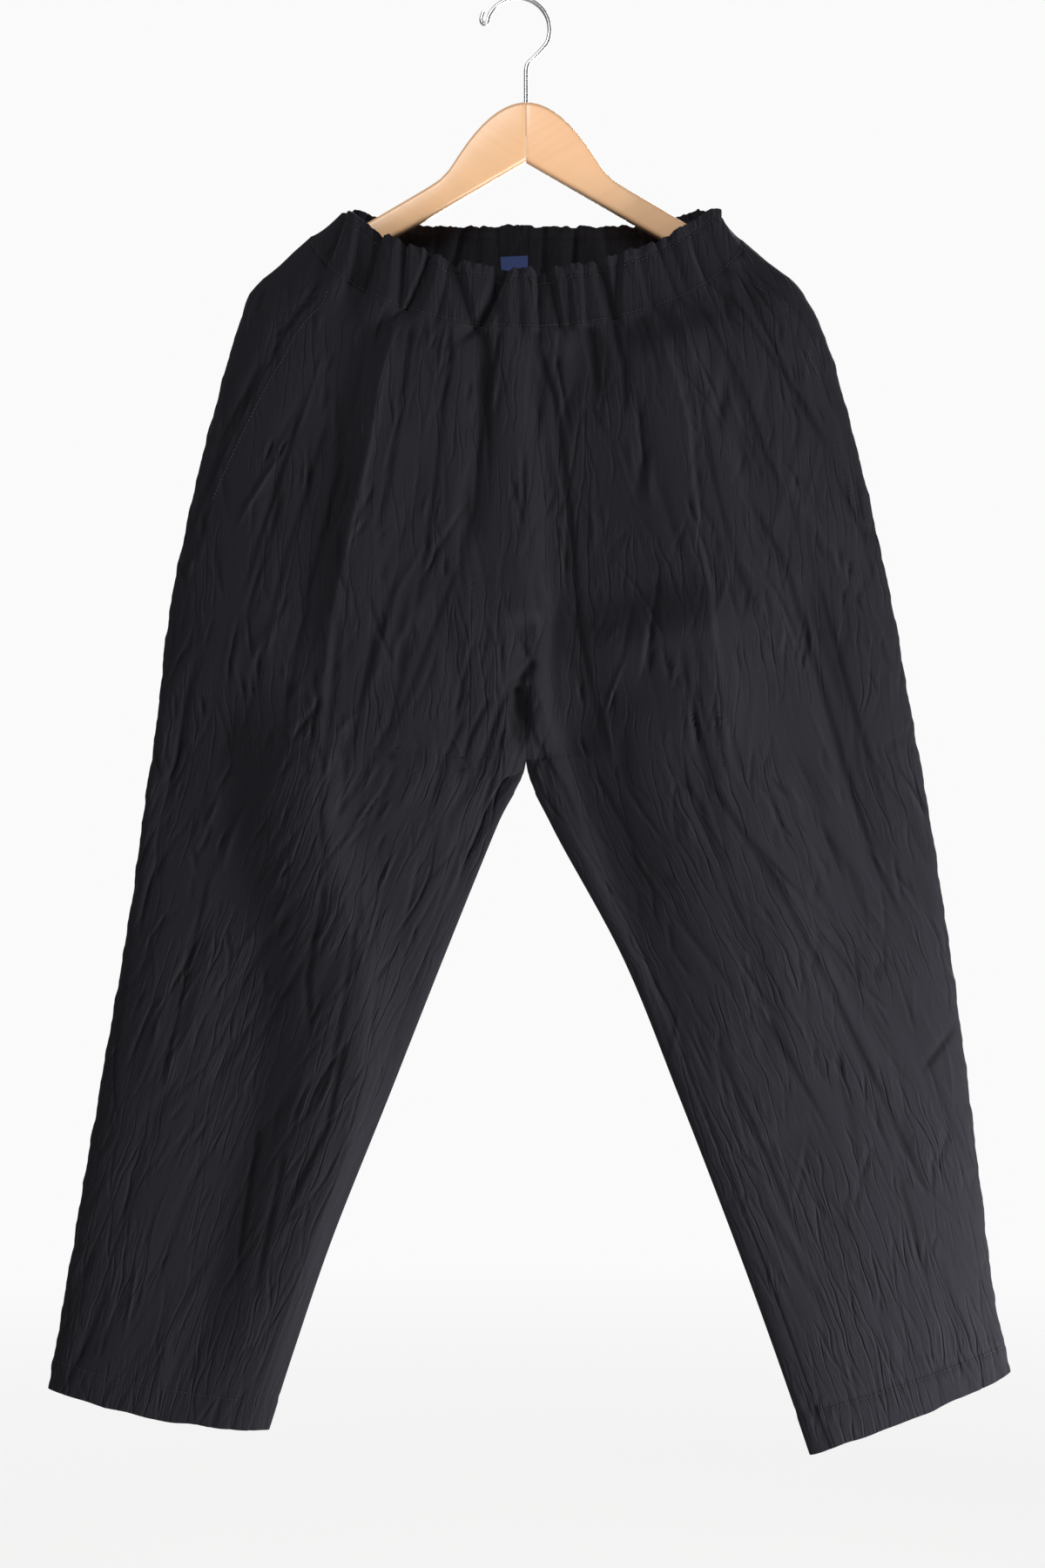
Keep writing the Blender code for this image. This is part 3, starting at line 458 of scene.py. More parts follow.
@dataclass
class Crinkle:
    """Small uneven creases, mostly along the grain, as soft strokes on the laid-out cloth.

    Lengths are in metres and angles in degrees from the grain.
    """

    spacing: float = 0.0082
    short: float = 0.020
    long: float = 0.090
    deep: float = 0.00195
    narrow: float = 0.0010
    wide: float = 0.0020
    fan: float = 6.0
    fan_reach: float = 0.060
    turn: float = 11.0
    drift: float = 8.0
    drift_pitch: float = 0.110
    bend: float = 0.045
    field: tuple[float, float, float, float] = (-0.310, 0.310, 0.150, 1.150)
    calm_pitch: float = 0.095
    calm_share: float = 0.25
    lower_share: float = 0.55
    lower_from: tuple[float, float] = (0.55, 0.95)
    reach: float = 6.0
    steep_side: float = 0.55
    shoulder: float = 0.35

    def strokes(self, u: Array, v: Array, seed: int) -> Array:
        """The creases' height over the cloth.

        Args:
            u: distance across the grain at each place.
            v: distance along the grain at each place.
            seed: picks one set of creases.

        Returns:
            Heights in metres.
        """
        rng = np.random.default_rng(seed)
        low_u, high_u, low_v, high_v = self.field
        mean_length = (self.short + self.long) / 2.0
        count = int((high_u - low_u) * (high_v - low_v) / (self.spacing * mean_length))
        phase = rng.uniform(0.0, FULL_TURN, 3)
        turn, calm = FULL_TURN / self.drift_pitch, FULL_TURN / self.calm_pitch
        first, last = self.lower_from
        total = np.zeros_like(u)
        for _ in range(count):
            start_u, start_v = rng.uniform(low_u, high_u), rng.uniform(low_v, high_v)
            length = self.short + (self.long - self.short) * rng.random() ** 2
            drift = math.sin(turn * start_u + phase[0]) * math.sin(0.6 * turn * start_v + phase[1])
            fan = self.fan * math.tanh(start_u / self.fan_reach)
            angle = math.radians(rng.normal(0.0, self.turn) + self.drift * drift + fan)
            patch = math.sin(calm * start_u + 2.1) * math.sin(0.7 * calm * start_v + phase[2])
            lively = 0.5 + 0.5 * patch
            low = float(smooth_step((start_v - first) / (last - first)))
            share = self.calm_share + (1.0 - self.calm_share) * lively
            share = share * (1.0 - low * self.lower_share)
            depth = self.deep * share * rng.uniform(0.35, 1.0) * rng.choice((-1.0, -1.0, 0.8))
            width = rng.uniform(self.narrow, self.wide)
            bow = rng.normal(0.0, self.bend) * length
            middle = 0.5 * length
            along_it, across_it = math.cos(angle), math.sin(angle)
            ru, rv = u - start_u, v - start_v
            t = ru * across_it + rv * along_it
            away = ru * along_it - rv * across_it
            near = (np.abs(t) < middle) & (np.abs(away) < self.reach * width + abs(bow))
            if not near.any():
                continue
            share = t[near] / middle
            s = away[near] + bow * (1.0 - share**2)
            fade = (1.0 - share**2) ** 1.5
            side = np.where(s > 0, width, width * self.steep_side)
            rim = self.shoulder * bell(s + 2.2 * width, width * 1.3)
            total[near] += depth * fade * (bell(s, side) - rim)
        return total


@dataclass
class Side:
    """One side of the garment: its leg, pocket, inseam and how the waistband leans at its end."""

    name: str
    sign: float
    sections: tuple[Section, ...]
    band_lean: float
    band_rise: float
    hem_bow: float
    pocket_shares: tuple[float, ...]
    inseam_rows: tuple[float, float]
    facing_flat: tuple[float, float]
    facing_area: float


RIGHT = Side("right", -1.0, RIGHT_SECTIONS, band_lean=0.0235, band_rise=0.0235, hem_bow=0.0050,
             pocket_shares=(0.915, 0.850, 0.830, 0.850, 0.905, 0.965),
             inseam_rows=(7.02, 7.35), facing_flat=(0.110, 0.270), facing_area=0.0105)
LEFT = Side("left", 1.0, LEFT_SECTIONS, band_lean=0.0195, band_rise=0.0275, hem_bow=0.0006,
            pocket_shares=(0.975, 0.955, 0.945, 0.955, 0.965, 0.965),
            inseam_rows=(7.15, 8.60), facing_flat=(0.095, 0.270), facing_area=0.0080)
SIDES = (RIGHT, LEFT)


@dataclass
class GarmentForm:
    """The trousers' smooth form, as the solids have it."""

    crotch_curve: float = 0.110
    crotch_turn: float = 0.60
    seam_sag_power: float = 1.1
    sag_end_row: float = 5.0
    hem_bow_row: float = 10.0
    waist_fullness: float = 3.4
    leg_fullness: float = 2.0
    fullness_rows: tuple[float, float] = (2.0, 6.0)
    angle_step: float = 0.004
    row_step: float = 0.05
    smallest: float = 1e-12

    def column(self, side: Side, name: str, row: Array) -> Array:
        """One named column of a leg's sections at a fractional row."""
        return along([getattr(section, name) for section in side.sections], row)

    def depth(self, side: Side, face: Face, row: Array) -> Array:
        """How far the panel stands off the garment's middle plane."""
        return self.column(side, "front_depth" if face is Face.FRONT else "back_depth", row)

    def fullness(self, row: Array) -> Array:
        """How square the section's oval is.

        Args:
            row: fractional section rows.

        Returns:
            2 for an ellipse, more when squarer.
        """
        first, last = self.fullness_rows
        over_arm = 1.0 - smooth_step((row - first) / (last - first))
        return self.leg_fullness + (self.waist_fullness - self.leg_fullness) * over_arm

    def bulge(self, share: Array, fullness: Array) -> Array:
        """Depth of an oval as a share of its greatest, from the share of its half width."""
        return (1.0 - np.clip(share, 0.0, 1.0) ** fullness) ** (1.0 / fullness)

    def level_normal(self, share: Array, fullness: Array, reach: Array,
                     depth: Array, sign_x: Array, sign_y: float) -> Array:
        """The level unit normal of an oval.

        Args:
            share: share of the oval's half width.
            fullness: how square the oval is.
            reach: the oval's half width.
            depth: the oval's depth.
            sign_x: which way the oval opens sideways.
            sign_y: which way it faces.

        Returns:
            Unit normals, one for each place.
        """
        nx = share ** (fullness - 1.0) / reach
        ny = self.bulge(share, fullness) ** (fullness - 1.0) / depth
        length = np.hypot(nx, ny)
        return np.stack([sign_x * nx / length, sign_y * ny / length, 0.0 * share], axis=-1)

    def points(self, side: Side, face: Face, angle: Array, row: Array) -> Array:
        """Points of a panel's smooth form.

        Args:
            side: the leg.
            face: front or back.
            angle: 0 at the centre seam or inseam, a quarter turn at the side seam.
            row: fractional section rows.

        Returns:
            Points, three numbers each.
        """
        front = face is Face.FRONT
        inner_x = self.column(side, "inner_x", row)
        inner_z = self.column(side, "inner_z" if front else "back_z", row)
        outer_x = self.column(side, "outer_x", row)
        outer_z = self.column(side, "outer_z", row)
        first = side.sections[0]
        drop = first.outer_z - (first.inner_z if front else first.back_z)
        above = np.clip((inner_z - side.sections[CROTCH_ROW].inner_z) / self.crotch_curve, 0.0, 1.0)
        at_seam = 1.0 - smooth_step(angle / self.crotch_turn)
        body = at_seam * np.sqrt(1.0 - (1.0 - above) ** 2) + (1.0 - at_seam) * smooth_step(above)
        body = body * (row < CROTCH_ROW)
        share = body * np.sin(angle) + (1.0 - body) * (1.0 - np.cos(2.0 * angle)) / 2.0
        bulge = body * self.bulge(np.sin(angle), self.fullness(row))
        bulge = bulge + (1.0 - body) * np.sin(2.0 * angle)
        sag = drop * (1.0 - smooth_step(row / self.sag_end_row))
        bow = side.hem_bow * smooth_step((row - self.hem_bow_row) / (HEM_ROW - self.hem_bow_row))
        x = inner_x + (outer_x - inner_x) * share
        y = face.value * self.depth(side, face, row) * bulge
        z = inner_z + (outer_z - inner_z) * share
        z = z - sag * (np.cos(angle) ** self.seam_sag_power - 1.0 + np.sin(angle))
        return np.stack([x, y, z - bow * np.sin(HALF_TURN * share)], axis=-1)

    def normals(self, side: Side, face: Face, angle: Array, row: Array) -> Array:
        """Unit normals of the smooth form, pointing out of the garment.

        Args:
            side: the leg.
            face: front or back.
            angle: angles as in points.
            row: fractional section rows.

        Returns:
            One normal for each place.
        """
        low = np.clip(angle - self.angle_step, 0.0, QUARTER_TURN)
        high = np.clip(angle + self.angle_step, 0.0, QUARTER_TURN)
        up = np.clip(row - self.row_step, 0.0, HEM_ROW)
        down = np.clip(row + self.row_step, 0.0, HEM_ROW)
        across = self.points(side, face, high, row) - self.points(side, face, low, row)
        down_leg = self.points(side, face, angle, down) - self.points(side, face, angle, up)
        normal = np.cross(down_leg, across) * side.sign * -face.value
        reach = np.abs(self.column(side, "outer_x", row) - CENTRE_X)
        level = self.level_normal(np.sin(angle), self.fullness(row), reach,
                                  self.depth(side, face, row), side.sign, face.value)
        length = np.linalg.norm(normal, axis=-1, keepdims=True)
        normal = np.where(length > self.smallest, normal / np.maximum(length, self.smallest), level)
        at_waist = (1.0 - smooth_step(row))[..., None]
        normal = normal * (1.0 - at_waist) + level * at_waist
        return normal / np.linalg.norm(normal, axis=-1, keepdims=True)


FORM = GarmentForm()


@dataclass
class Grain:
    """The cloth's grain over a leg, which fans out from the waist and follows the leg down.

    Distances are in metres and follow smoothed centre and side lines.
    """

    step: float = 0.005
    top: float = -0.100
    bottom: float = -1.200
    smoothing: int = 17
    mean_width: float = 0.25

    def line(self, side: Side, edge: str, z: Array) -> Array:
        """One of a leg's smoothed edge lines, its x at each height.

        Args:
            side: the leg.
            edge: inner or outer.
            z: heights.

        Returns:
            The line's x at each height.
        """
        heights = np.arange(self.bottom, self.top, self.step)
        table = side.sections[::-1]
        at = np.interp(heights, [getattr(s, f"{edge}_z") for s in table],
                       [getattr(s, f"{edge}_x") for s in table])
        kernel = np.hanning(self.smoothing + 2)[1:-1]
        padded = np.pad(at, self.smoothing // 2, mode="edge")
        return np.interp(z, heights, np.convolve(padded, kernel / kernel.sum(), mode="valid"))

    def lay(self, side: Side, points: Array) -> Array:
        """Distances across and down the grain.

        Args:
            side: the leg.
            points: places on the cloth.

        Returns:
            Two distances for each place.
        """
        x, z = points[..., 0], points[..., 2]
        inner, outer = self.line(side, "inner", z), self.line(side, "outer", z)
        share = (x - inner) / (outer - inner)
        width = 0.5 * np.abs(outer - inner) + 0.5 * self.mean_width
        return np.stack([side.sign * share * width, -z], axis=-1)


GRAIN = Grain()


class Net:
    """A node tree with short ways to add its nodes and links."""

    def __init__(self, material: Material) -> None:
        """Starts from a material's own nodes."""
        material.use_nodes = True
        self.tree = material.node_tree
        self.shader = self.tree.nodes["Principled BSDF"]

    def node(self, kind: str, settings: dict | None = None, sockets: dict | None = None,
             out: int | str = 0) -> "Wire":
        """Adds a node.

        Args:
            kind: the node's type.
            settings: its properties, set before its inputs.
            sockets: values or wires for its inputs, by name or number.
            out: which output is wanted.

        Returns:
            The wanted output.
        """
        made = self.tree.nodes.new(kind)
        for name, value in (settings or {}).items():
            setattr(made, name, value)
        for name, value in (sockets or {}).items():
            self.feed(made.inputs[name], value)
        return Wire(self, made.outputs[out])

    def feed(self, socket: bpy.types.NodeSocket, value: object) -> None:
        """Gives an input a value or a wire.

        Args:
            socket: the input.
            value: a value or a wire.
        """
        if isinstance(value, Wire):
            self.tree.links.new(value.socket, socket)
        else:
            socket.default_value = value

    def surface(self, **inputs: object) -> None:
        """Sets the shader's sockets, an underscore in a name standing for a space."""
        for name, value in inputs.items():
            self.feed(self.shader.inputs[name.replace("_", " ")], value)

    def uv(self) -> "Wire":
        """Distances over the cloth, from its UV map."""
        return self.node("ShaderNodeUVMap", {"uv_map": "cloth"})

    def place(self) -> "Wire":
        """Places in the piece's own frame."""
        return self.node("ShaderNodeTexCoord", out="Object")

    def part(self, place: "Wire", axis: str) -> "Wire":
        """One coordinate of a place."""
        return self.node("ShaderNodeSeparateXYZ", sockets={"Vector": place}, out=axis)

    def stretch(self, place: "Wire", scale: Triple, turn: Triple = (0.0, 0.0, 0.0)) -> "Wire":
        """Places turned and scaled along each axis."""
        return self.node("ShaderNodeMapping", {"vector_type": "POINT"},
                         {"Vector": place, "Rotation": turn, "Scale": scale})

    def noise(self, place: "Wire", scale: float, detail: float = 2.0, roughness: float = 0.5,
              twist: float = 0.0, flat: bool = False, out: str = "Fac") -> "Wire":
        """A noise texture's value, in two dimensions when flat."""
        return self.node("ShaderNodeTexNoise", {"noise_dimensions": "2D" if flat else "3D"},
                         {"Vector": place, "Scale": scale, "Detail": detail,
                          "Roughness": roughness, "Distortion": twist}, out)

    def mix(self, share: object, a: object, b: object) -> "Wire":
        """A colour between a and b."""
        return self.node("ShaderNodeMix", {"data_type": "RGBA"}, {0: share, 6: a, 7: b}, 2)

    def bump(self, height: "Wire", distance: float, under: "Wire | None" = None) -> "Wire":
        """A bump over another from a height of 0 to 1 that stands for the given distance."""
        over = {} if under is None else {"Normal": under}
        return self.node("ShaderNodeBump", sockets={"Height": height, "Distance": distance} | over)


class Wire:
    """An output socket that takes part in sums."""

    def __init__(self, net: Net, socket: bpy.types.NodeSocket) -> None:
        """Keeps the socket and its net."""
        self.net = net
        self.socket = socket

    def math(self, operation: str, *others: object) -> "Wire":
        """One Math node on this wire and others."""
        sockets = dict(enumerate((self, *others)))
        return self.net.node("ShaderNodeMath", {"operation": operation}, sockets)

    def __add__(self, other: object) -> "Wire":
        """Sum."""
        return self.math("ADD", other)

    __radd__ = __add__

    def __mul__(self, other: object) -> "Wire":
        """Product."""
        return self.math("MULTIPLY", other)

    def __sub__(self, other: object) -> "Wire":
        """Difference."""
        return self.math("SUBTRACT", other)

    def __rsub__(self, other: object) -> "Wire":
        """Difference, this wire taken from a value."""
        return self.net.node("ShaderNodeMath", {"operation": "SUBTRACT"}, {0: other, 1: self})

    def __pow__(self, other: object) -> "Wire":
        """Power."""
        return self.math("POWER", other)

    def absolute(self) -> "Wire":
        """Size without sign."""
        return self.math("ABSOLUTE")

    def sine(self) -> "Wire":
        """Sine of the value in radians."""
        return self.math("SINE")

    def clamp(self) -> "Wire":
        """The value held between 0 and 1."""
        return self.net.node("ShaderNodeClamp", sockets={"Value": self})


@dataclass(frozen=True)
class Finish:
    """A surface finish, which makes one material."""

    name: str

    def make(self) -> Material:
        """The finish's material, with all its nodes.

        Returns:
            The new material.
        """
        material = bpy.data.materials.new(self.name)
        self.paint(Net(material))
        return material

    def paint(self, net: Net) -> None:
        """Adds the finish's own nodes."""
        raise NotImplementedError


@dataclass(frozen=True)
class CrinkledCotton(Finish):
    """Dark navy cotton, plain woven and crinkled, with a slight slub.

    Patterns follow the piece's UV map, whose unit is a metre. A way is how closely a
    pattern is set across and along the grain.
    """

    name: str = "crinkled navy cotton"
    base: Colour = (0.0106, 0.0100, 0.0133, 1.0)
    worn: Colour = (0.0168, 0.0160, 0.0204, 1.0)
    # Painted shade: the darker colour laid into the crinkle valleys and the carved crease hollows.
    deep: Colour = (0.0056, 0.0053, 0.0072, 1.0)
    sheen_tint: Colour = (0.86, 0.88, 1.0, 1.0)
    yarn: float = 0.00042
    drift: Triple = (0.0130, 0.0060, 0.0)
    crinkle_way: Triple = (270.0, 36.0, 1.0)
    fine_way: Triple = (620.0, 150.0, 1.0)
    slub_way: Triple = (1500.0, 240.0, 1.0)
    crinkle_height: float = 0.00075
    fine_height: float = 0.00018
    weave_height: float = 0.00007
    drift_scale: float = 18.0
    cell_scale: float = 0.34
    ridge_scale: float = 0.55
    ridge_gain: float = 5.0
    ridge_share: float = 0.5
    valley_gain: float = 9.0
    valley_share: float = 1.1
    patch_scale: float = 17.0
    patch_start: float = 0.36
    patch_gain: float = 3.4
    fine_scale: float = 0.6
    weave_share: float = 0.5
    valley_shade: float = 0.26
    ridge_shade: float = 0.20
    carved_shade: float = 0.8
    slub_shade: float = 0.4
    roughness: float = 0.86
    sheen: float = 0.05
    sheen_roughness: float = 0.45
    specular: float = 0.12

    def paint(self, net: Net) -> None:
        """Adds crinkles in patches, finer ones, weave and slub, with painted shade in the crinkle
        valleys and crease hollows and a lighter tone on the ridges.

        Args:
            net: the material's nodes.
        """
        uv = net.uv()
        drift = net.noise(uv, self.drift_scale, flat=True, out="Color")
        moved = net.node("ShaderNodeVectorMath", {"operation": "MULTIPLY_ADD"},
                         {0: drift, 1: self.drift, 2: uv})
        long_way = net.stretch(moved, self.crinkle_way)
        cells = net.node("ShaderNodeTexVoronoi",
                         {"feature": "DISTANCE_TO_EDGE", "voronoi_dimensions": "2D"},
                         {"Vector": long_way, "Scale": self.cell_scale, "Randomness": 1.0},
                         "Distance")
        ridged = net.noise(long_way, self.ridge_scale, 3.0, 0.55, flat=True)
        patches = net.noise(uv, self.patch_scale, flat=True)
        strength = ((patches - self.patch_start) * self.patch_gain).clamp()
        ridge = 1.0 - ((ridged - 0.5) * self.ridge_gain).absolute().clamp()
        valley = (1.0 - (cells * self.valley_gain).clamp()) * strength
        fine = net.noise(net.stretch(moved, self.fine_way), self.fine_scale, 3.0, 0.6, flat=True)
        slub = net.noise(net.stretch(uv, self.slub_way), 1.0, flat=True)
        turn = HALF_TURN / self.yarn
        weave = (net.part(uv, "X") * turn).sine() * (net.part(uv, "Y") * turn).sine()
        crinkles = ridge ** 2.0 * strength * self.ridge_share - valley * self.valley_share
        normal = net.bump(crinkles, self.crinkle_height)
        normal = net.bump(fine, self.fine_height, normal)
        normal = net.bump(weave * self.weave_share + slub, self.weave_height, normal)
        carved = net.node("ShaderNodeAttribute", {"attribute_name": "crease"}, out="Fac")
        # Painted shade: the crinkle valleys and the carved creases' hollows darken towards deep.
        hollow = (valley * self.valley_shade + (0.0 - carved).clamp()).clamp()
        crown = ridge ** 3.0 * strength * self.ridge_shade + carved.clamp() * self.carved_shade
        crown = crown + (slub - 0.5) * self.slub_shade
        colour = net.mix(crown.clamp(), self.base, self.worn)
        net.surface(Base_Color=net.mix(hollow, colour, self.deep), Roughness=self.roughness,
                    Normal=normal, Sheen_Weight=self.sheen, Sheen_Roughness=self.sheen_roughness,
                    Sheen_Tint=self.sheen_tint, Specular_IOR_Level=self.specular)


@dataclass(frozen=True)
class SewingThread(Finish):
    """Matt navy sewing thread, twisted."""

    name: str = "navy thread"
    colour: Colour = (0.016, 0.016, 0.022, 1.0)
    dark: Colour = (0.009, 0.009, 0.013, 1.0)
    twist: float = 5200.0
    roughness: float = 0.6
    ply_height: float = 0.0001

    def paint(self, net: Net) -> None:
        """Adds the plies' slanting stripes.

        Args:
            net: the material's nodes.
        """
        place = net.place()
        ply = ((net.part(place, "X") + net.part(place, "Z")) * self.twist).sine() * 0.5 + 0.5
        net.surface(Base_Color=net.mix(ply, self.dark, self.colour), Roughness=self.roughness,
                    Normal=net.bump(ply, self.ply_height))


@dataclass(frozen=True)
class WovenLabel(Finish):
    """Woven navy ribbon, blank."""

    name: str = "woven label"
    colour: Colour = (0.0150, 0.0400, 0.1700, 1.0)
    light: Colour = (0.0260, 0.0600, 0.2400, 1.0)
    thread: float = 0.00032
    thread_share: float = 0.25
    rib_share: float = 0.6
    rib_height: float = 0.00012
    wear_scale: float = 300.0
    wear_share: float = 0.3
    roughness: float = 0.55
    sheen: float = 0.2

    def paint(self, net: Net) -> None:
        """Adds the ribs, with threads across them.

        Args:
            net: the material's nodes.
        """
        uv = net.uv()
        turn = FULL_TURN / self.thread
        threads = (net.part(uv, "X") * turn * 0.5).sine() * self.thread_share
        threads = threads + (1.0 - self.thread_share)
        rib = ((net.part(uv, "Y") * turn).sine() * 0.5 + 0.5) * threads
        worn = rib * self.rib_share + net.noise(uv, self.wear_scale) * self.wear_share
        net.surface(Base_Color=net.mix(worn, self.colour, self.light), Roughness=self.roughness,
                    Normal=net.bump(rib, self.rib_height), Sheen_Weight=self.sheen)


@dataclass(frozen=True)
class PaleWood(Finish):
    """Pale varnished wood with a fine grain along the arm.

    tint is added towards the warmer side; the two arms' copies are toned apart as painted light and
    shade, the right arm's darker and the left arm's warmer.
    """

    slope: float
    tint: float
    light: Colour = (0.850, 0.535, 0.300, 1.0)
    warm: Colour = (0.860, 0.485, 0.258, 1.0)
    vein: Colour = (0.730, 0.420, 0.215, 1.0)
    grain_way: Triple = (9.0, 60.0, 150.0)
    pore_way: Triple = (60.0, 500.0, 1500.0)
    grain_twist: float = 0.6
    grain_start: float = 0.50
    grain_gain: float = 1.5
    pore_start: float = 0.60
    pore_gain: float = 2.0
    pore_shade: float = 0.5
    warm_scale: float = 14.0
    warm_start: float = 0.35
    warm_gain: float = 1.6
    roughness: float = 0.34
    grain_roughness: float = 0.15
    grain_share: float = 0.6
    pore_share: float = 0.4
    relief: float = 0.00012
    coat: float = 0.35
    coat_roughness: float = 0.22

    def paint(self, net: Net) -> None:
        """Adds broad tints, grain and pores.

        Args:
            net: the material's nodes.
        """
        laid = net.stretch(net.place(), (1.0, 1.0, 1.0), (0.0, self.slope, 0.0))
        grain = net.noise(net.stretch(laid, self.grain_way), 1.0, 5.0, twist=self.grain_twist)
        pore = net.noise(net.stretch(laid, self.pore_way), 1.0)
        warmth = (net.noise(laid, self.warm_scale) - self.warm_start) * self.warm_gain
        colour = net.mix((warmth + self.tint).clamp(), self.light, self.warm)
        veins = ((grain - self.grain_start) * self.grain_gain).clamp()
        colour = net.mix(veins, colour, self.vein)
        pores = ((pore - self.pore_start) * self.pore_gain).clamp() * self.pore_shade
        colour = net.mix(pores, colour, self.vein)
        height = grain * self.grain_share + pore * self.pore_share
        net.surface(Base_Color=colour,
                    Roughness=self.roughness + (grain - 0.5) * self.grain_roughness,
                    Normal=net.bump(height, self.relief), Coat_Weight=self.coat,
                    Coat_Roughness=self.coat_roughness, Specular_IOR_Level=0.5)


@dataclass(frozen=True)
class ChromedWire(Finish):
    """Bright chromed steel wire with faint handling marks."""

    name: str = "chromed wire"
    colour: Colour = (0.64, 0.64, 0.65, 1.0)
    dull: Colour = (0.52, 0.51, 0.50, 1.0)
    mark_scale: float = 420.0
    mark_start: float = 0.55
    mark_gain: float = 2.0
    mark_height: float = 0.00002
    mark_roughness: float = 0.12
    roughness: float = 0.18

    def paint(self, net: Net) -> None:
        """Adds the handling marks.

        Args:
            net: the material's nodes.
        """
        marks = net.noise(net.place(), self.mark_scale, 4.0)
        share = ((marks - self.mark_start) * self.mark_gain).clamp()
        net.surface(Base_Color=net.mix(share, self.colour, self.dull), Metallic=1.0,
                    Roughness=self.roughness + marks * self.mark_roughness,
                    Normal=net.bump(marks, self.mark_height))


def declare(item: Piece, node: str) -> None:
    """Hides the solid that a piece stands for and puts the piece on the body it moves with.

    Args:
        item: the finished piece.
        node: the solid's name.
    """
    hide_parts(node)
    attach(item, BODY)
    LOG.info("%s: %d faces", item.name, len(item.data.polygons))


def select(item: Piece | None = None) -> None:
    """Selects one object and makes it the active one, or selects none.

    Args:
        item: the object, if any.
    """
    bpy.ops.object.select_all(action="DESELECT")
    if item is not None:
        item.select_set(True)
        bpy.context.view_layer.objects.active = item


def dress(item: Piece, name: str, material: Material) -> Piece:
    """Gives a finished object its name and its one material.

    Args:
        item: the object.
        name: its name.
        material: its finish.

    Returns:
        The object.
    """
    item.name = name
    item.data.materials.clear()
    item.data.materials.append(material)
    return item


class Mesher:
    """Makes mesh objects from grids of points."""

    @staticmethod
    def add(name: str, points: Array, faces: list[list[int]], material: Material,
            uv: Array | None = None, crease: Array | None = None) -> Piece:
        """Adds one smooth-shaded mesh.

        Args:
            name: the piece's name.
            points: all points.
            faces: the point numbers of each face.
            material: its finish.
            uv: two numbers for each point.
            crease: a crease's height in millimetres for each point.

        Returns:
            The new object.
        """
        mesh = bpy.data.meshes.new(name)
        mesh.from_pydata(points.tolist(), [], faces)
        if uv is not None:
            layer = mesh.uv_layers.new(name="cloth")
            corners = np.zeros(len(mesh.loops), int)
            mesh.loops.foreach_get("vertex_index", corners)
            layer.data.foreach_set("uv", uv[corners].astype(np.float32).ravel())
        # The crease heights are kept on the mesh for its colour: painted shade in the hollows.
        if crease is not None:
            kept = mesh.attributes.new("crease", "FLOAT", "POINT")
            kept.data.foreach_set("value", crease.astype(np.float32).ravel())
        mesh.polygons.foreach_set("use_smooth", np.ones(len(mesh.polygons), bool))
        mesh.materials.append(material)
        item = bpy.data.objects.new(name, mesh)
        bpy.context.scene.collection.objects.link(item)
        return item

    @staticmethod
    def turn_out(item: Piece) -> None:
        """Makes a closed mesh's faces point outwards.

        Args:
            item: the object.
        """
        shape = bmesh.new()
        shape.from_mesh(item.data)
        bmesh.ops.recalc_face_normals(shape, faces=shape.faces)
        for edge in shape.edges:
            edge.smooth = edge.calc_face_angle(0.0) < RIM_ANGLE
        shape.to_mesh(item.data)
        shape.free()

    @classmethod
    def wall(cls, name: str, outer: Array, inner: Array, material: Material,
             uv: Array, crease: Array) -> Piece:
        """A closed thin wall between a fine outer grid and an inner one with half its steps.

        Args:
            name: the piece's name.
            outer: the outer grid of points, an odd number each way.
            inner: the inner grid's points at every second place.
            material: its finish.
            uv: two numbers for each outer point.
            crease: crease heights in millimetres for each outer point.

        Returns:
            The new object.
        """
        fine = np.arange(outer.shape[0] * outer.shape[1]).reshape(outer.shape[:2])
        coarse = fine.size + np.arange(inner.shape[0] * inner.shape[1]).reshape(inner.shape[:2])

        def quads(number: Array) -> list[list[int]]:
            """The grid's faces."""
            corners = (number[:-1, :-1], number[:-1, 1:], number[1:, 1:], number[1:, :-1])
            return np.stack(corners, -1).reshape(-1, 4).tolist()

        def border(number: Array) -> Array:
            """The grid's edge, once round."""
            return np.concatenate(
                [number[0, :-1], number[:-1, -1], number[-1, :0:-1], number[:0:-1, 0]])

        faces = quads(fine) + [face[::-1] for face in quads(coarse)]
        out, back = border(fine), border(coarse)
        ends, after = np.roll(out, -2)[::2], np.roll(back, -1)
        faces += np.stack([ends, out[1::2], out[::2], back, after], -1).tolist()
        points = np.concatenate([outer.reshape(-1, 3), inner.reshape(-1, 3)])
        flat = np.concatenate([uv.reshape(-1, 2), uv[::2, ::2].reshape(-1, 2)])
        # The inner face takes the outer creases' heights turned over, for its painted shade.
        heights = np.concatenate([crease.ravel(), -crease[::2, ::2].ravel()])
        item = cls.add(name, points, faces, material, flat, heights)
        cls.turn_out(item)
        return item


def lowest_near(height: Array) -> Array:
    """Each place's lowest height among it and its neighbours.

    Args:
        height: a grid of heights.

    Returns:
        The lowest heights, in the same grid.
    """
    padded = np.pad(height, 1, mode="edge")
    rows, columns = height.shape
    shifts = [(r, c) for r in range(3) for c in range(3)]
    return np.min([padded[r:r + rows, c:c + columns] for r, c in shifts], axis=0)


def walk(line: Array) -> Array:
    """The way walked along a line at each of its points."""
    return np.concatenate([[0.0], np.cumsum(np.linalg.norm(np.diff(line, axis=0), axis=1))])


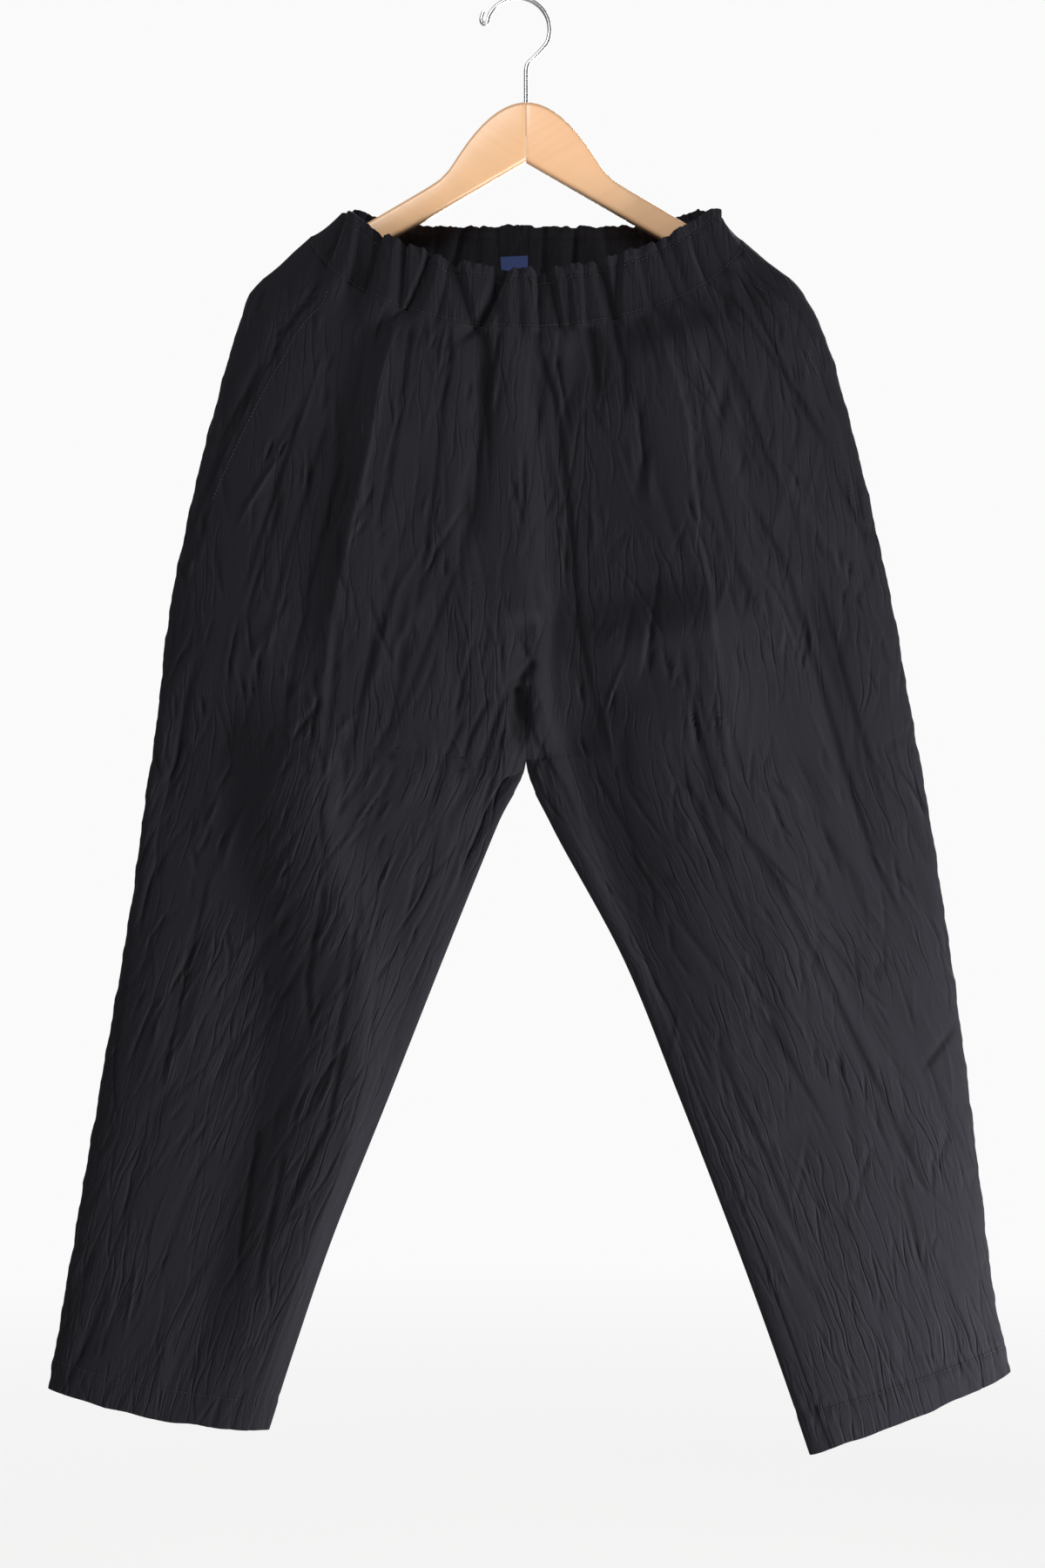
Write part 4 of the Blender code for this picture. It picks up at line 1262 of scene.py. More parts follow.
def flat_lengths(points: Array) -> Array:
    """Distances across and down a grid of points, for a UV map in metres.

    Args:
        points: the smooth grid.

    Returns:
        Two distances for each grid point.
    """
    across = np.linalg.norm(np.diff(points, axis=1), axis=-1)
    down = np.linalg.norm(np.diff(points, axis=0), axis=-1)
    u = np.concatenate([np.zeros((len(points), 1)), np.cumsum(across, axis=1)], axis=1)
    u = u - u[:, u.shape[1] // 2][:, None]
    v = np.concatenate([np.zeros((1, points.shape[1])), np.cumsum(down, axis=0)], axis=0)
    v = np.repeat(v.mean(axis=1, keepdims=True), points.shape[1], axis=1)
    return np.stack([u, v], axis=-1)


def grid_normals(grid: Array, face: Face) -> Array:
    """Unit normals of a grid of points, pointing out of the garment's given face.

    Args:
        grid: points of the cloth.
        face: front or back.

    Returns:
        One normal for each point.
    """
    normal = np.cross(np.gradient(grid, axis=0), np.gradient(grid, axis=1))
    normal = normal / np.maximum(np.linalg.norm(normal, axis=-1, keepdims=True), 1e-12)
    return normal * np.sign(np.median(normal[..., 1]) * face.value)


def inset_line(grid: Array, values: Array, inset: float) -> Array:
    """Values a fixed distance in from a grid's last column.

    Args:
        grid: points of the cloth.
        values: three numbers for each grid point.
        inset: the distance along the cloth.

    Returns:
        The values for each of the grid's rows.
    """
    lines = []
    for points, numbers in zip(grid[:, ::-1], values[:, ::-1]):
        walked = walk(points)
        lines.append([np.interp(inset, walked, numbers[:, k]) for k in range(3)])
    return np.array(lines)


@dataclass
class Gathers:
    """The waist gathers: flat leaning facets between sharp valleys, each steeper on one side."""

    drop: float = 1.25
    puff: float = 0.0020
    uneven: float = 0.0011
    uneven_length: float = 0.031
    uneven_slant: float = 0.004
    steep: float = 1.0
    gentle: float = 2.7
    power: float = 1.35
    swell: float = 0.30
    swell_rates: tuple[float, float] = (2.6, 1.7)
    widening: float = 0.6
    tail_rate: float = 45.0
    lowest: float = -9.0
    fade_rate: float = 1.1

    def height(self, gathers: tuple[Gather, ...], place: Array, rise: Array) -> Array:
        """Height of the gathered cloth on the band or just below it.

        Args:
            gathers: the table of valleys.
            place: distance from the centre along the waist, in metres.
            rise: 1 at the band's top edge, 0 at its seam, negative below, in band heights.

        Returns:
            Heights in metres.
        """
        total = self.puff + self.uneven * wavy(place + self.uneven_slant * rise,
                                               self.uneven_length, 27)
        by_rise, by_gather = self.swell_rates
        for k, gather in enumerate(gathers):
            centre = (gather.place + gather.lean * (1.0 - rise) * 0.5) * MM
            below = np.where(rise < 0.0, np.exp(rise * self.tail_rate / gather.tail), 1.0)
            swell = 1.0 + self.swell * np.sin(by_rise * rise + by_gather * k)
            away = place - centre
            facing = -1.0 if (k % 3) != 1 else 1.0
            spread = np.where(away * facing > 0.0, self.gentle, self.steep)
            wider = 1.0 + self.widening * np.clip(-rise, 0.0, 1.0)
            width = gather.width * MM * spread * wider
            valley = np.clip(1.0 - np.abs(away) / width, 0.0, 1.0) ** self.power
            total = total - self.drop * gather.depth * MM * valley * below * swell
        return total * np.exp(np.clip(rise, self.lowest, 0.0) * self.fade_rate)


@dataclass
class Panels:
    """The legs' cut pieces: two fronts, two backs and the two pocket facings."""

    cloth: Material
    folds: FoldShape = field(default_factory=FoldShape)
    crinkle: Crinkle = field(default_factory=Crinkle)
    broad: Crinkle = field(default_factory=lambda: Crinkle(
        spacing=0.015, short=0.05, long=0.19, deep=0.0023, narrow=0.0030, wide=0.009, turn=10.0,
        bend=0.05))
    gathers: Gathers = field(default_factory=Gathers)
    thickness: float = 0.0009
    row_pitch: float = 0.0026
    crotch_rows: float = 1.2
    crotch_rows_spread: float = 0.3
    columns: int = 199
    turned_columns: int = 10
    facing_columns: int = 31
    front_seed: int = 11
    back_seed: int = 31
    facing_seed: int = 41
    seam_fade: float = 0.016
    crotch_fade_start: float = 0.004
    crotch_fade: float = 0.040
    folds_start_row: float = 2.4
    creases_start_row: float = 0.5
    waist_row_gap: float = 0.002
    inseam_set: float = 0.014
    tuck: float = 0.0075
    tuck_edge: float = 0.0020
    tuck_rows: tuple[float, float] = (7.05, 8.9)
    tuck_fades: tuple[float, float] = (0.3, 0.9)
    pocket_end_row: float = 5.0
    pocket_close_rows: float = 0.5
    facing_rise: float = 0.010
    pocket_stop_share: float = 0.965
    pocket_tuck: float = 0.014
    facing_gap: float = 0.0012
    hem_turn: float = 0.029
    hem_row_length: float = 0.0655
    hem_lift: float = 0.0005
    hem_stitch: float = 0.0015
    hem_edge: float = 0.0012
    hem_groove: float = 0.0006
    hem_wave: float = 0.0011
    hem_wave_length: float = 0.045
    hem_wave_rows: float = 0.4
    pocket_stitch: float = 0.006
    small_fade: float = 0.006
    small_at_waist: float = 0.25
    crease_shades: tuple[float, float] = (0.9, 0.35)
    gather_fade: float = 0.010
    band_rows: float = 1.35
    edge_fade: float = 0.012
    edge_waves: tuple[float, float] = (0.0008, 0.0003)
    edge_wave_lengths: tuple[float, float] = (0.034, 0.011)
    pucker: float = 0.00030
    pucker_width: float = 0.0035
    pucker_length: float = 0.009
    pucker_rows: float = 1.5
    groove: float = 0.0007
    groove_width: float = 0.0011
    groove_rows: float = 0.6
    rows_of_stitches: list[tuple[Array, Array]] = field(default_factory=list)

    def row_list(self, last: float, pitch: float) -> Array:
        """Section rows spaced evenly down the leg, closer together near the crotch.

        Args:
            last: the last row.
            pitch: spacing in metres.

        Returns:
            The rows.
        """
        fine = np.linspace(self.waist_row_gap, last, 2000)
        line = FORM.points(RIGHT, Face.FRONT, np.full_like(fine, 0.8), fine)
        steps = np.linalg.norm(np.diff(line, axis=0), axis=1)
        steps = steps * (1.0 + self.crotch_rows * bell(fine[1:] - CROTCH_ROW,
                                                      self.crotch_rows_spread))
        walked = np.concatenate([[0.0], np.cumsum(steps)])
        count = 2 * int(walked[-1] / pitch / 2.0) + 1
        return np.interp(np.linspace(0.0, walked[-1], count), walked, fine)

    def inseam_angle(self, side: Side, row: Array) -> Array:
        """Angle of the seam between front and back, which rolls onto the front below the crotch."""
        width = np.abs(FORM.column(side, "outer_x", row) - FORM.column(side, "inner_x", row))
        return 0.5 * np.arccos(1.0 - 2.0 * self.inset(side, row) / width)

    def inset(self, side: Side, row: Array) -> Array:
        """How far the inseam lies in from the leg's inner edge."""
        first, last = side.inseam_rows
        return self.inseam_set * smooth_step((row - first) / (last - first))

    def pocket_angle(self, side: Side, row: Array) -> Array:
        """The angle of the slant pocket's opening."""
        return np.arcsin(np.interp(row, range(len(side.pocket_shares)), side.pocket_shares))

    def front_edge(self, side: Side, row: Array) -> Array:
        """The angle at which the front ends: the pocket's opening, then the side seam.

        Args:
            side: the leg.
            row: fractional section rows.

        Returns:
            The angles.
        """
        stop = math.asin(self.pocket_stop_share)
        close = smooth_step((row - self.pocket_end_row) / self.pocket_close_rows)
        past = stop + (QUARTER_TURN - stop) * close
        return np.where(row <= self.pocket_end_row, self.pocket_angle(side, row), past)

    def relief(self, side: Side, face: Face, angle: Array, row: Array,
               form: Array, seed: int) -> tuple[Array, Array]:
        """Height of folds, gathers, creases and seams above the smooth form.

        Args:
            side: the leg.
            face: front or back.
            angle: angles of the grid.
            row: rows of the grid.
            form: the smooth points.
            seed: picks the small creases.

        Returns:
            All heights in metres, and the small creases' share of them.
        """
        x, z = form[..., 0], form[..., 2]
        to_side = np.abs(FORM.column(side, "outer_x", row) - x)
        to_inseam = np.abs(x - FORM.column(side, "inner_x", row))
        crotch_z = side.sections[CROTCH_ROW].inner_z
        over_crotch = smooth_step((z - crotch_z - self.crotch_fade_start) / self.crotch_fade)

        def clear(fade: float) -> Array:
            """0 at the side seam and the inseam, 1 past the fade and above the crotch."""
            off_inseam = np.maximum(smooth_step(to_inseam / fade), over_crotch)
            return smooth_step(to_side / fade) * off_inseam

        keep = clear(self.seam_fade)
        large = self.folds.height(FOLDS[face], x, z) * keep
        large = large * smooth_step(row / self.folds_start_row)
        keep = keep * smooth_step(row / self.creases_start_row)
        sharp = self.folds.height(CREASES[face], x, z) * keep
        across, down = np.moveaxis(GRAIN.lay(side, form), -1, 0)
        middle = self.broad.strokes(across, down, seed + 50) * keep
        small = self.crinkle.strokes(across, down, seed) * clear(self.small_fade)
        small = small * (self.small_at_waist + (1.0 - self.small_at_waist) * smooth_step(row))
        place = side.sign * self.waist_reach(side, angle)
        gather = self.gathers.height(GATHERS[face], place, -row / self.band_rows)
        height = large + sharp + small + middle + gather * smooth_step(to_side / self.gather_fade)
        broad, fine = self.edge_waves
        long, short = self.edge_wave_lengths
        edge = wavy(z, long, 5 + int(side.sign)) * broad + wavy(z, short, 9) * fine
        edge = edge * (1.0 - smooth_step(to_side / self.edge_fade)) * smooth_step(row / 2.0)
        from_seam = to_inseam - self.inseam_set * (row > CROTCH_ROW + 0.5)
        pucker = wavy(z, self.pucker_length, seed + 3)
        pucker = pucker * smooth_step((row - CROTCH_ROW + 1.0) / self.pucker_rows)
        height = height + edge + self.pucker * pucker * bell(from_seam, self.pucker_width)
        groove = self.groove * smooth_step((row - CROTCH_ROW) / self.groove_rows)
        height = height - groove * bell(from_seam, self.groove_width)
        if face is Face.FRONT and side is RIGHT:
            first, last = self.tuck_rows
            start, end = self.tuck_fades
            span = smooth_step((row - first) / start) * smooth_step((last - row) / end)
            inset = np.maximum(self.inset(side, row), MM)
            beside = smooth_step((inset - to_inseam) / self.tuck_edge)
            height = height - self.tuck * beside * np.clip(to_inseam / inset, 0.0, 1.0) * span
        below = (HEM_ROW - row) * self.hem_row_length
        height = height + self.hem_lift * smooth_step((self.hem_turn - below) / self.hem_edge)
        height = height - self.hem_groove * bell(below - self.hem_turn - self.hem_edge, MM)
        # The creases' heights in millimetres set the painted shade in the cloth's colour, darker in
        # their hollows.
        of_sharp, of_middle = self.crease_shades
        return height, (small + sharp * of_sharp + middle * of_middle) / MM

    def waist_reach(self, side: Side, angle: Array) -> Array:
        """Distance of a column from the centre along the waist seam."""
        first = side.sections[0]
        return np.abs(first.outer_x - first.inner_x) * np.sin(angle)

    def surface(self, side: Side, face: Face, angle: Array, row: Array, seed: int,
                inward: float | Array = 0.0) -> tuple[Array, ...]:
        """Outer and inner points of a stretch of cloth.

        Args:
            side: the leg.
            face: front or back.
            angle: angles of the grid.
            row: rows of the grid.
            seed: picks the small creases.
            inward: how far behind the garment's face it lies.

        Returns:
            Outer points, inner points, UV distances and crease heights.
        """
        form = FORM.points(side, face, angle, row)
        normal = FORM.normals(side, face, angle, row)
        height, crease = self.relief(side, face, angle, row, form, seed)
        outer = form + normal * (height - inward)[..., None]
        inner = form + normal * (lowest_near(height) - inward - self.thickness)[..., None]
        near_hem = (row - HEM_ROW + self.hem_wave_rows) / self.hem_wave_rows
        hem = wavy(form[..., 0], self.hem_wave_length, 21) * self.hem_wave * smooth_step(near_hem)
        for grid in (outer, inner):
            grid[..., 2] += hem
            grid[..., 1] = beyond(grid[..., 1], face.value)
            clear = beyond(grid[..., 0], side.sign, CENTRE_X)
            grid[..., 0] = np.where(row <= CROTCH_ROW, clear, grid[..., 0])
        return outer, inner, GRAIN.lay(side, form), crease

    def stitch_hem(self, rows: Array, outer: Array, face: Face) -> Array:
        """Marks the hem's row of stitches.

        Args:
            rows: the grid's rows.
            outer: the piece's outer points.
            face: front or back.

        Returns:
            The outer points' normals.
        """
        normal = grid_normals(outer, face)
        below = (HEM_ROW - rows) * self.hem_row_length
        hem = int(np.argmin(np.abs(below - self.hem_turn + self.hem_stitch)))
        self.rows_of_stitches.append((outer[hem, 2:-2], normal[hem, 2:-2]))
        return normal

    def wall(self, name: str, outer: Array, inner: Array, uv: Array, crease: Array) -> Piece:
        """A closed piece of the cloth."""
        return Mesher.wall(name, outer, inner[::2, ::2], self.cloth, uv, crease)

    def front(self, side: Side) -> Piece:
        """A front leg, cut away at the slant pocket.

        Args:
            side: the leg.

        Returns:
            The piece.
        """
        rows = self.row_list(HEM_ROW, self.row_pitch)
        row, u = np.meshgrid(rows, np.linspace(0.0, 1.0, self.columns), indexing="ij")
        start = self.inseam_angle(side, row)
        angle = start + (self.front_edge(side, row) - start) * u
        outer, inner, uv, crease = self.surface(side, Face.FRONT, angle, row, self.front_seed)
        normal = self.stitch_hem(rows, outer, Face.FRONT)
        pocket = slice(4, int(np.searchsorted(rows, self.pocket_end_row - 0.1)))
        self.rows_of_stitches.append(tuple(
            inset_line(outer[pocket], values[pocket], self.pocket_stitch)
            for values in (outer, normal)))
        return self.wall(f"cloth_front_{side.name}", outer, inner, uv, crease)

    def back(self, side: Side) -> Piece:
        """A back leg, whose inseam edge rolls onto the front below the crotch.

        Args:
            side: the leg.

        Returns:
            The piece.
        """
        rows = self.row_list(HEM_ROW, self.row_pitch)
        row, u = np.meshgrid(rows, np.linspace(0.0, 1.0, self.columns - 20), indexing="ij")
        back = self.surface(side, Face.BACK, QUARTER_TURN * u, row, self.back_seed)
        self.stitch_hem(rows, back[0], Face.BACK)
        turned = np.linspace(1.0, 0.0, self.turned_columns, endpoint=False)
        row, turned = np.meshgrid(rows, turned, indexing="ij")
        angle = self.inseam_angle(side, row) * turned
        front = self.surface(side, Face.FRONT, angle, row, self.front_seed)
        whole = [np.concatenate(pair, axis=1) for pair in zip(front, back)]
        return self.wall(f"cloth_back_{side.name}", *whole)

    def facing(self, side: Side) -> Piece:
        """The side piece under a slant pocket's opening.

        Args:
            side: the leg.

        Returns:
            The piece.
        """
        rows = self.row_list(self.pocket_end_row + self.pocket_close_rows, self.row_pitch)
        row, u = np.meshgrid(rows, np.linspace(0.0, 1.0, self.facing_columns), indexing="ij")
        reach = np.abs(FORM.column(side, "outer_x", row) - CENTRE_X)
        start = np.arcsin(np.sin(self.pocket_angle(side, row)) - self.pocket_tuck / reach)
        angle = start + (QUARTER_TURN - start) * u
        shown = reach * (np.sin(angle) - np.sin(self.front_edge(side, row)))
        sunk = (self.facing_gap + self.thickness) * (1.0 - smooth_step(shown / self.facing_rise))
        parts = self.surface(side, Face.FRONT, angle, row, self.facing_seed, sunk)
        return self.wall(f"cloth_facing_{side.name}", *parts)

    def make(self) -> None:
        """Makes and declares all six pieces."""
        for side in SIDES:
            front, back, facing = self.front(side), self.back(side), self.facing(side)
            declare(front, f"front_{side.name}")
            declare(back, f"back_{side.name}")
            declare(facing, f"pocket_facing_{side.name}")


@dataclass
class Waistband:
    """The gathered elastic casing with its ruffled heading, and the label inside it."""

    cloth: Material
    woven: Material
    gathers: Gathers = field(default_factory=Gathers)
    crinkle: Crinkle = field(default_factory=lambda: Crinkle(
        spacing=0.008, short=0.012, long=0.050, deep=0.0010, turn=14.0,
        field=(-0.30, 0.30, 0.0, 0.06), lower_share=0.0))
    thickness: float = 0.0020
    lean: float = 0.002
    lean_power: float = 0.75
    front_height: float = 0.0445
    back_height: float = 0.0450
    front_sag_power: float = 1.7
    back_sag_start: float = 0.35
    back_sag_spread: float = 0.55
    corner_drop: float = 0.0065
    corner_reach: float = 0.0060
    corner_fade: float = 0.0022
    heading: float = 0.82
    heading_pinch: float = 0.0007
    heading_pinch_rise: float = 0.03
    heading_gather: float = 0.25
    ruffle: float = 0.0018
    ruffle_lengths: tuple[float, float] = (0.0115, 0.0050)
    ruffle_fine: float = 0.35
    edge_waves: tuple[float, float] = (0.0010, 0.0005)
    edge_wave_lengths: tuple[float, float] = (0.0105, 0.0046)
    edge_gather: float = 0.55
    edge_start: float = 0.55
    edge_span: float = 0.45
    # How far the gathers' valleys darken the cloth's colour, as painted shade.
    valley_shade: float = 0.25
    deepest_shade: float = -0.8
    columns: int = 561
    rows: int = 51
    label_size: tuple[float, float] = (0.023, 0.020)
    label_centre: float = -0.0035
    label_top: float = -0.1922
    label_tilt: float = 0.045
    label_flat: float = 0.014
    label_curl: float = 0.0005
    label_gaps: tuple[float, float] = (0.0001, 0.0008)
    side_seam: float = 0.12
    fullness: float = 1.45
    stitch_rises: tuple[float, ...] = (0.04, 0.80)
    stitch_ends: int = 14
    rows_of_stitches: list[tuple[Array, Array]] = field(default_factory=list)

    def points(self, face: Face, turn: Array, rise: Array, inward: float = 0.0,
               gathered: bool = True) -> tuple[Array, Array]:
        """Points of the band.

        Args:
            face: front or back.
            turn: 0 at the right side seam, a half turn at the left one.
            rise: 0 at the waist seam, 1 at the top edge.
            inward: how far inside the outer face.
            gathered: whether it has its gathers.

        Returns:
            Points, and the gathers' heights in millimetres.
        """
        front = face is Face.FRONT
        first, left = RIGHT.sections[0], LEFT.sections[0]
        seam_centre = first.inner_z if front else first.back_z
        height = self.front_height if front else self.back_height
        side_turn = np.abs(turn - QUARTER_TURN)
        share, level = np.sin(side_turn), np.cos(side_turn)

        def pick(of_right: float, of_left: float) -> Array:
            """The right side's value on the right, the left side's elsewhere."""
            return np.where(turn < QUARTER_TURN, of_right, of_left)

        away = pick(-1.0, 1.0)
        at_seam = pick(CENTRE_X - first.outer_x, left.outer_x - CENTRE_X)
        reach = at_seam - pick(RIGHT.band_lean, LEFT.band_lean) * rise**self.lean_power
        side_z = pick(first.outer_z, left.outer_z)
        depth = (first.front_depth if front else first.back_depth) - self.lean * rise
        x = CENTRE_X + away * reach * share
        y = face.value * depth * FORM.bulge(share, FORM.waist_fullness)
        seam_z = side_z - (side_z - seam_centre) * level ** FORM.seam_sag_power
        side_top = side_z + pick(RIGHT.band_rise, LEFT.band_rise)
        if front:
            top_sag = level ** self.front_sag_power
        else:
            top_sag = smooth_step((level - self.back_sag_start) / self.back_sag_spread)
        corner = at_seam * (1.0 - share)
        top_z = side_top - (side_top - seam_centre - height) * top_sag
        top_z = top_z - self.corner_drop * bell(corner, self.corner_reach)
        normal = FORM.level_normal(share, FORM.waist_fullness, reach, depth, away, face.value)
        place = away * at_seam * share
        gather = self.gathers.height(GATHERS[face], place, rise)
        fade = smooth_step(corner / self.corner_fade)
        if not front:
            fade = fade * (1.0 - np.exp(-(((x - self.label_centre) / self.label_flat) ** 4)))
        top = smooth_step((rise - self.heading) / (1.0 - self.heading))
        seeds = (3, 33, 13, 23) if front else (8, 38, 17, 29)
        long, short = self.ruffle_lengths
        frill = wavy(place, long, seeds[0]) + self.ruffle_fine * wavy(place, short, seeds[1])
        lift = gather * (1.0 + self.heading_gather * top) + frill * self.ruffle * top
        lift = lift - self.heading_pinch * bell(rise - self.heading, self.heading_pinch_rise)
        lift = lift * fade * gathered
        (long, short), (broad, fine) = self.edge_wave_lengths, self.edge_waves
        edge = wavy(place, long, seeds[2]) * broad + wavy(place, short, seeds[3]) * fine
        near_edge = smooth_step((rise - self.edge_start) / self.edge_span)
        edge = (edge + gather * self.edge_gather) * near_edge * gathered
        z = seam_z + rise * (top_z - seam_z) + edge
        grid = np.stack([x, y, z], -1) + normal * (lift - inward)[..., None]
        grid[..., 1] = beyond(grid[..., 1], face.value)
        return grid, lift / MM

    def band(self, face: Face) -> Piece:
        """Half of the band, from side seam to side seam.

        Args:
            face: front or back.

        Returns:
            The piece.
        """
        turns = np.linspace(0.0, HALF_TURN, self.columns)
        rises = np.linspace(1.0, 0.0, self.rows)
        rise, turn = np.meshgrid(rises, turns, indexing="ij")
        smooth, _ = self.points(face, turn, rise, gathered=False)
        uv = flat_lengths(smooth) * (self.fullness, 1.0)
        small = self.crinkle.strokes(uv[..., 0], uv[..., 1], 71 + int(face.value))
        outer, height = self.points(face, turn, rise)
        inner, _ = self.points(face, turn, rise, inward=self.thickness)
        shown = np.sin(turn) > self.side_seam
        for grid in (outer, inner):
            grid[..., 1] += face.value * small * shown
        normal = grid_normals(outer, face)
        for place in self.stitch_rises:
            at = int(np.argmin(np.abs(rises - place)))
            span = slice(self.stitch_ends, -self.stitch_ends)
            self.rows_of_stitches.append((outer[at, span], normal[at, span]))
        # Painted shade: the gathers' valleys darken the cloth's colour by their depth.
        crease = np.clip(height * self.valley_shade, self.deepest_shade, 0.0) + small / MM
        name = f"cloth_band_{face.name.lower()}"
        return Mesher.wall(name, outer, inner[::2, ::2], self.cloth, uv, crease)

    def label(self) -> Piece:
        """The small woven label inside the back band.

        Returns:
            The piece.
        """
        width, height = self.label_size
        reach = CENTRE_X - RIGHT.sections[0].outer_x
        xs = self.label_centre + width * np.linspace(-0.5, 0.5, 41)
        turn = QUARTER_TURN + np.arcsin((xs - CENTRE_X) / reach)
        top, _ = self.points(Face.BACK, turn, np.ones_like(turn), gathered=False)
        seam, _ = self.points(Face.BACK, turn, np.zeros_like(turn), gathered=False)
        zs = self.label_top - height * np.linspace(0.0, 1.0, 35)
        zs = zs[:, None] + (self.label_tilt * (xs - self.label_centre))[None, :]
        rise = (zs - seam[None, :, 2]) / (top[:, 2] - seam[:, 2])[None, :]
        turns = np.repeat(turn[None, :], len(zs), axis=0)
        curl = self.label_curl * np.linspace(-1.0, 1.0, len(zs))[:, None] ** 4
        near_by, far_by = (self.thickness + gap for gap in self.label_gaps)
        near, _ = self.points(Face.BACK, turns, rise, near_by, gathered=False)
        far, _ = self.points(Face.BACK, turns, rise, far_by, gathered=False)
        for grid in (near, far):
            grid[..., 1] -= curl
        uv = flat_lengths(near)
        return Mesher.wall("label_woven", far, near[::2, ::2], self.woven, uv, 0.0 * rise)

    def make(self) -> None:
        for face in Face:
            piece = self.band(face)
            declare(piece, f"waistband_{face.name.lower()}")
        label = self.label()
        declare(label, "label")


@dataclass
class Stage:
    """The camera, the pale floor and the soft lights."""

    frame_height: float = 1.206
    eye: tuple[float, float, float] = (0.0037, -1.8, -0.603)
    floor_z: float = -1.90
    floor_radius: float = 5.0
    floor_colour: Colour = (0.10, 0.10, 0.099, 1.0)
    floor_glow: Colour = (1.0, 0.998, 0.99, 1.0)
    floor_glow_strength: float = 0.74
    rim_start: float = 0.18
    rim_gain: float = 1.25
    seen_colour: Colour = (0.955, 0.957, 0.955, 1.0)
    cast_colour: Colour = (0.94, 0.97, 1.0, 1.0)
    cast_strength: float = 0.18

    def camera(self) -> None:
        """The camera at the photograph's viewing angle."""
        data = bpy.data.cameras.new("camera")
        data.sensor_width = 36.0
        data.lens = data.sensor_width * -self.eye[1] / self.frame_height
        item = bpy.data.objects.new("camera", data)
        item.location = self.eye
        item.rotation_euler = (QUARTER_TURN, 0.0, 0.0)
        bpy.context.scene.collection.objects.link(item)
        bpy.context.scene.camera = item

    def floor(self) -> None:
        """A pale round floor that fades out at its rim."""
        select()
        bpy.ops.mesh.primitive_circle_add(vertices=96, radius=self.floor_radius, fill_type="NGON",
                                          location=(0.0, 0.0, self.floor_z))
        item = bpy.context.active_object
        bpy.ops.object.transform_apply(location=True, rotation=True, scale=True)
        material = bpy.data.materials.new("pale floor")
        net = Net(material)
        distance = net.node("ShaderNodeVectorMath", {"operation": "LENGTH"}, {0: net.place()},
                            "Value")
        rim = distance * (1.0 / self.floor_radius) - self.rim_start
        rim = (rim * self.rim_gain).clamp()
        clear = net.node("ShaderNodeBsdfTransparent")
        net.surface(Base_Color=self.floor_colour, Roughness=0.9,
                    Emission_Color=self.floor_glow, Emission_Strength=self.floor_glow_strength)
        shader = Wire(net, net.shader.outputs[0])
        mixed = net.node("ShaderNodeMixShader", sockets={0: rim, 1: shader, 2: clear})
        net.tree.links.new(mixed.socket, net.tree.nodes["Material Output"].inputs["Surface"])
        dress(item, "floor", material)

    def world(self) -> None:
        """A pale surround, brighter to look at than it lights."""
        world = bpy.data.worlds.new("surround")
        bpy.context.scene.world = world
        world.use_nodes = True
        nodes, links = world.node_tree.nodes, world.node_tree.links
        seen, cast = nodes["Background"], nodes.new("ShaderNodeBackground")
        seen.inputs[0].default_value = self.seen_colour
        seen.inputs[1].default_value = 1.0
        cast.inputs[0].default_value = self.cast_colour
        cast.inputs[1].default_value = self.cast_strength
        path, mixer = nodes.new("ShaderNodeLightPath"), nodes.new("ShaderNodeMixShader")
        links.new(path.outputs["Is Camera Ray"], mixer.inputs[0])
        links.new(cast.outputs[0], mixer.inputs[1])
        links.new(seen.outputs[0], mixer.inputs[2])
        links.new(mixer.outputs[0], nodes["World Output"].inputs[0])

    def light(self, name: str, place: tuple[float, float, float], aim: tuple[float, float, float],
              size: tuple[float, float], power: float) -> None:
        """One soft area light.

        Args:
            name: its name.
            place: where it stands.
            aim: the point that it faces.
            size: its width and height.
            power: its strength in watts.
        """
        data = bpy.data.lights.new(name, "AREA")
        data.shape = "RECTANGLE"
        data.size, data.size_y = size
        data.energy = power
        item = bpy.data.objects.new(name, data)
        item.location = place
        item.rotation_euler = (Vector(aim) - Vector(place)).to_track_quat("-Z", "Y").to_euler()
        item.visible_camera = False
        bpy.context.scene.collection.objects.link(item)

    def make(self) -> None:
        """Makes the camera, floor, surround and lights."""
        bpy.context.scene.view_settings.view_transform = "Standard"
        self.camera()
        self.floor()
        self.world()
        self.light("window", place=(1.05, -0.50, -1.30), aim=(0.1, 0.0, -1.02),
                   size=(0.5, 0.8), power=42.0)
        self.light("top fill", place=(-0.6, -1.6, 0.9), aim=(-0.05, 0.0, -0.25),
                   size=(1.2, 0.8), power=26.0)
        self.light("back fill", place=(0.6, 1.9, 0.2), aim=(0.0, 0.0, -0.6),
                   size=(1.4, 1.4), power=80.0)


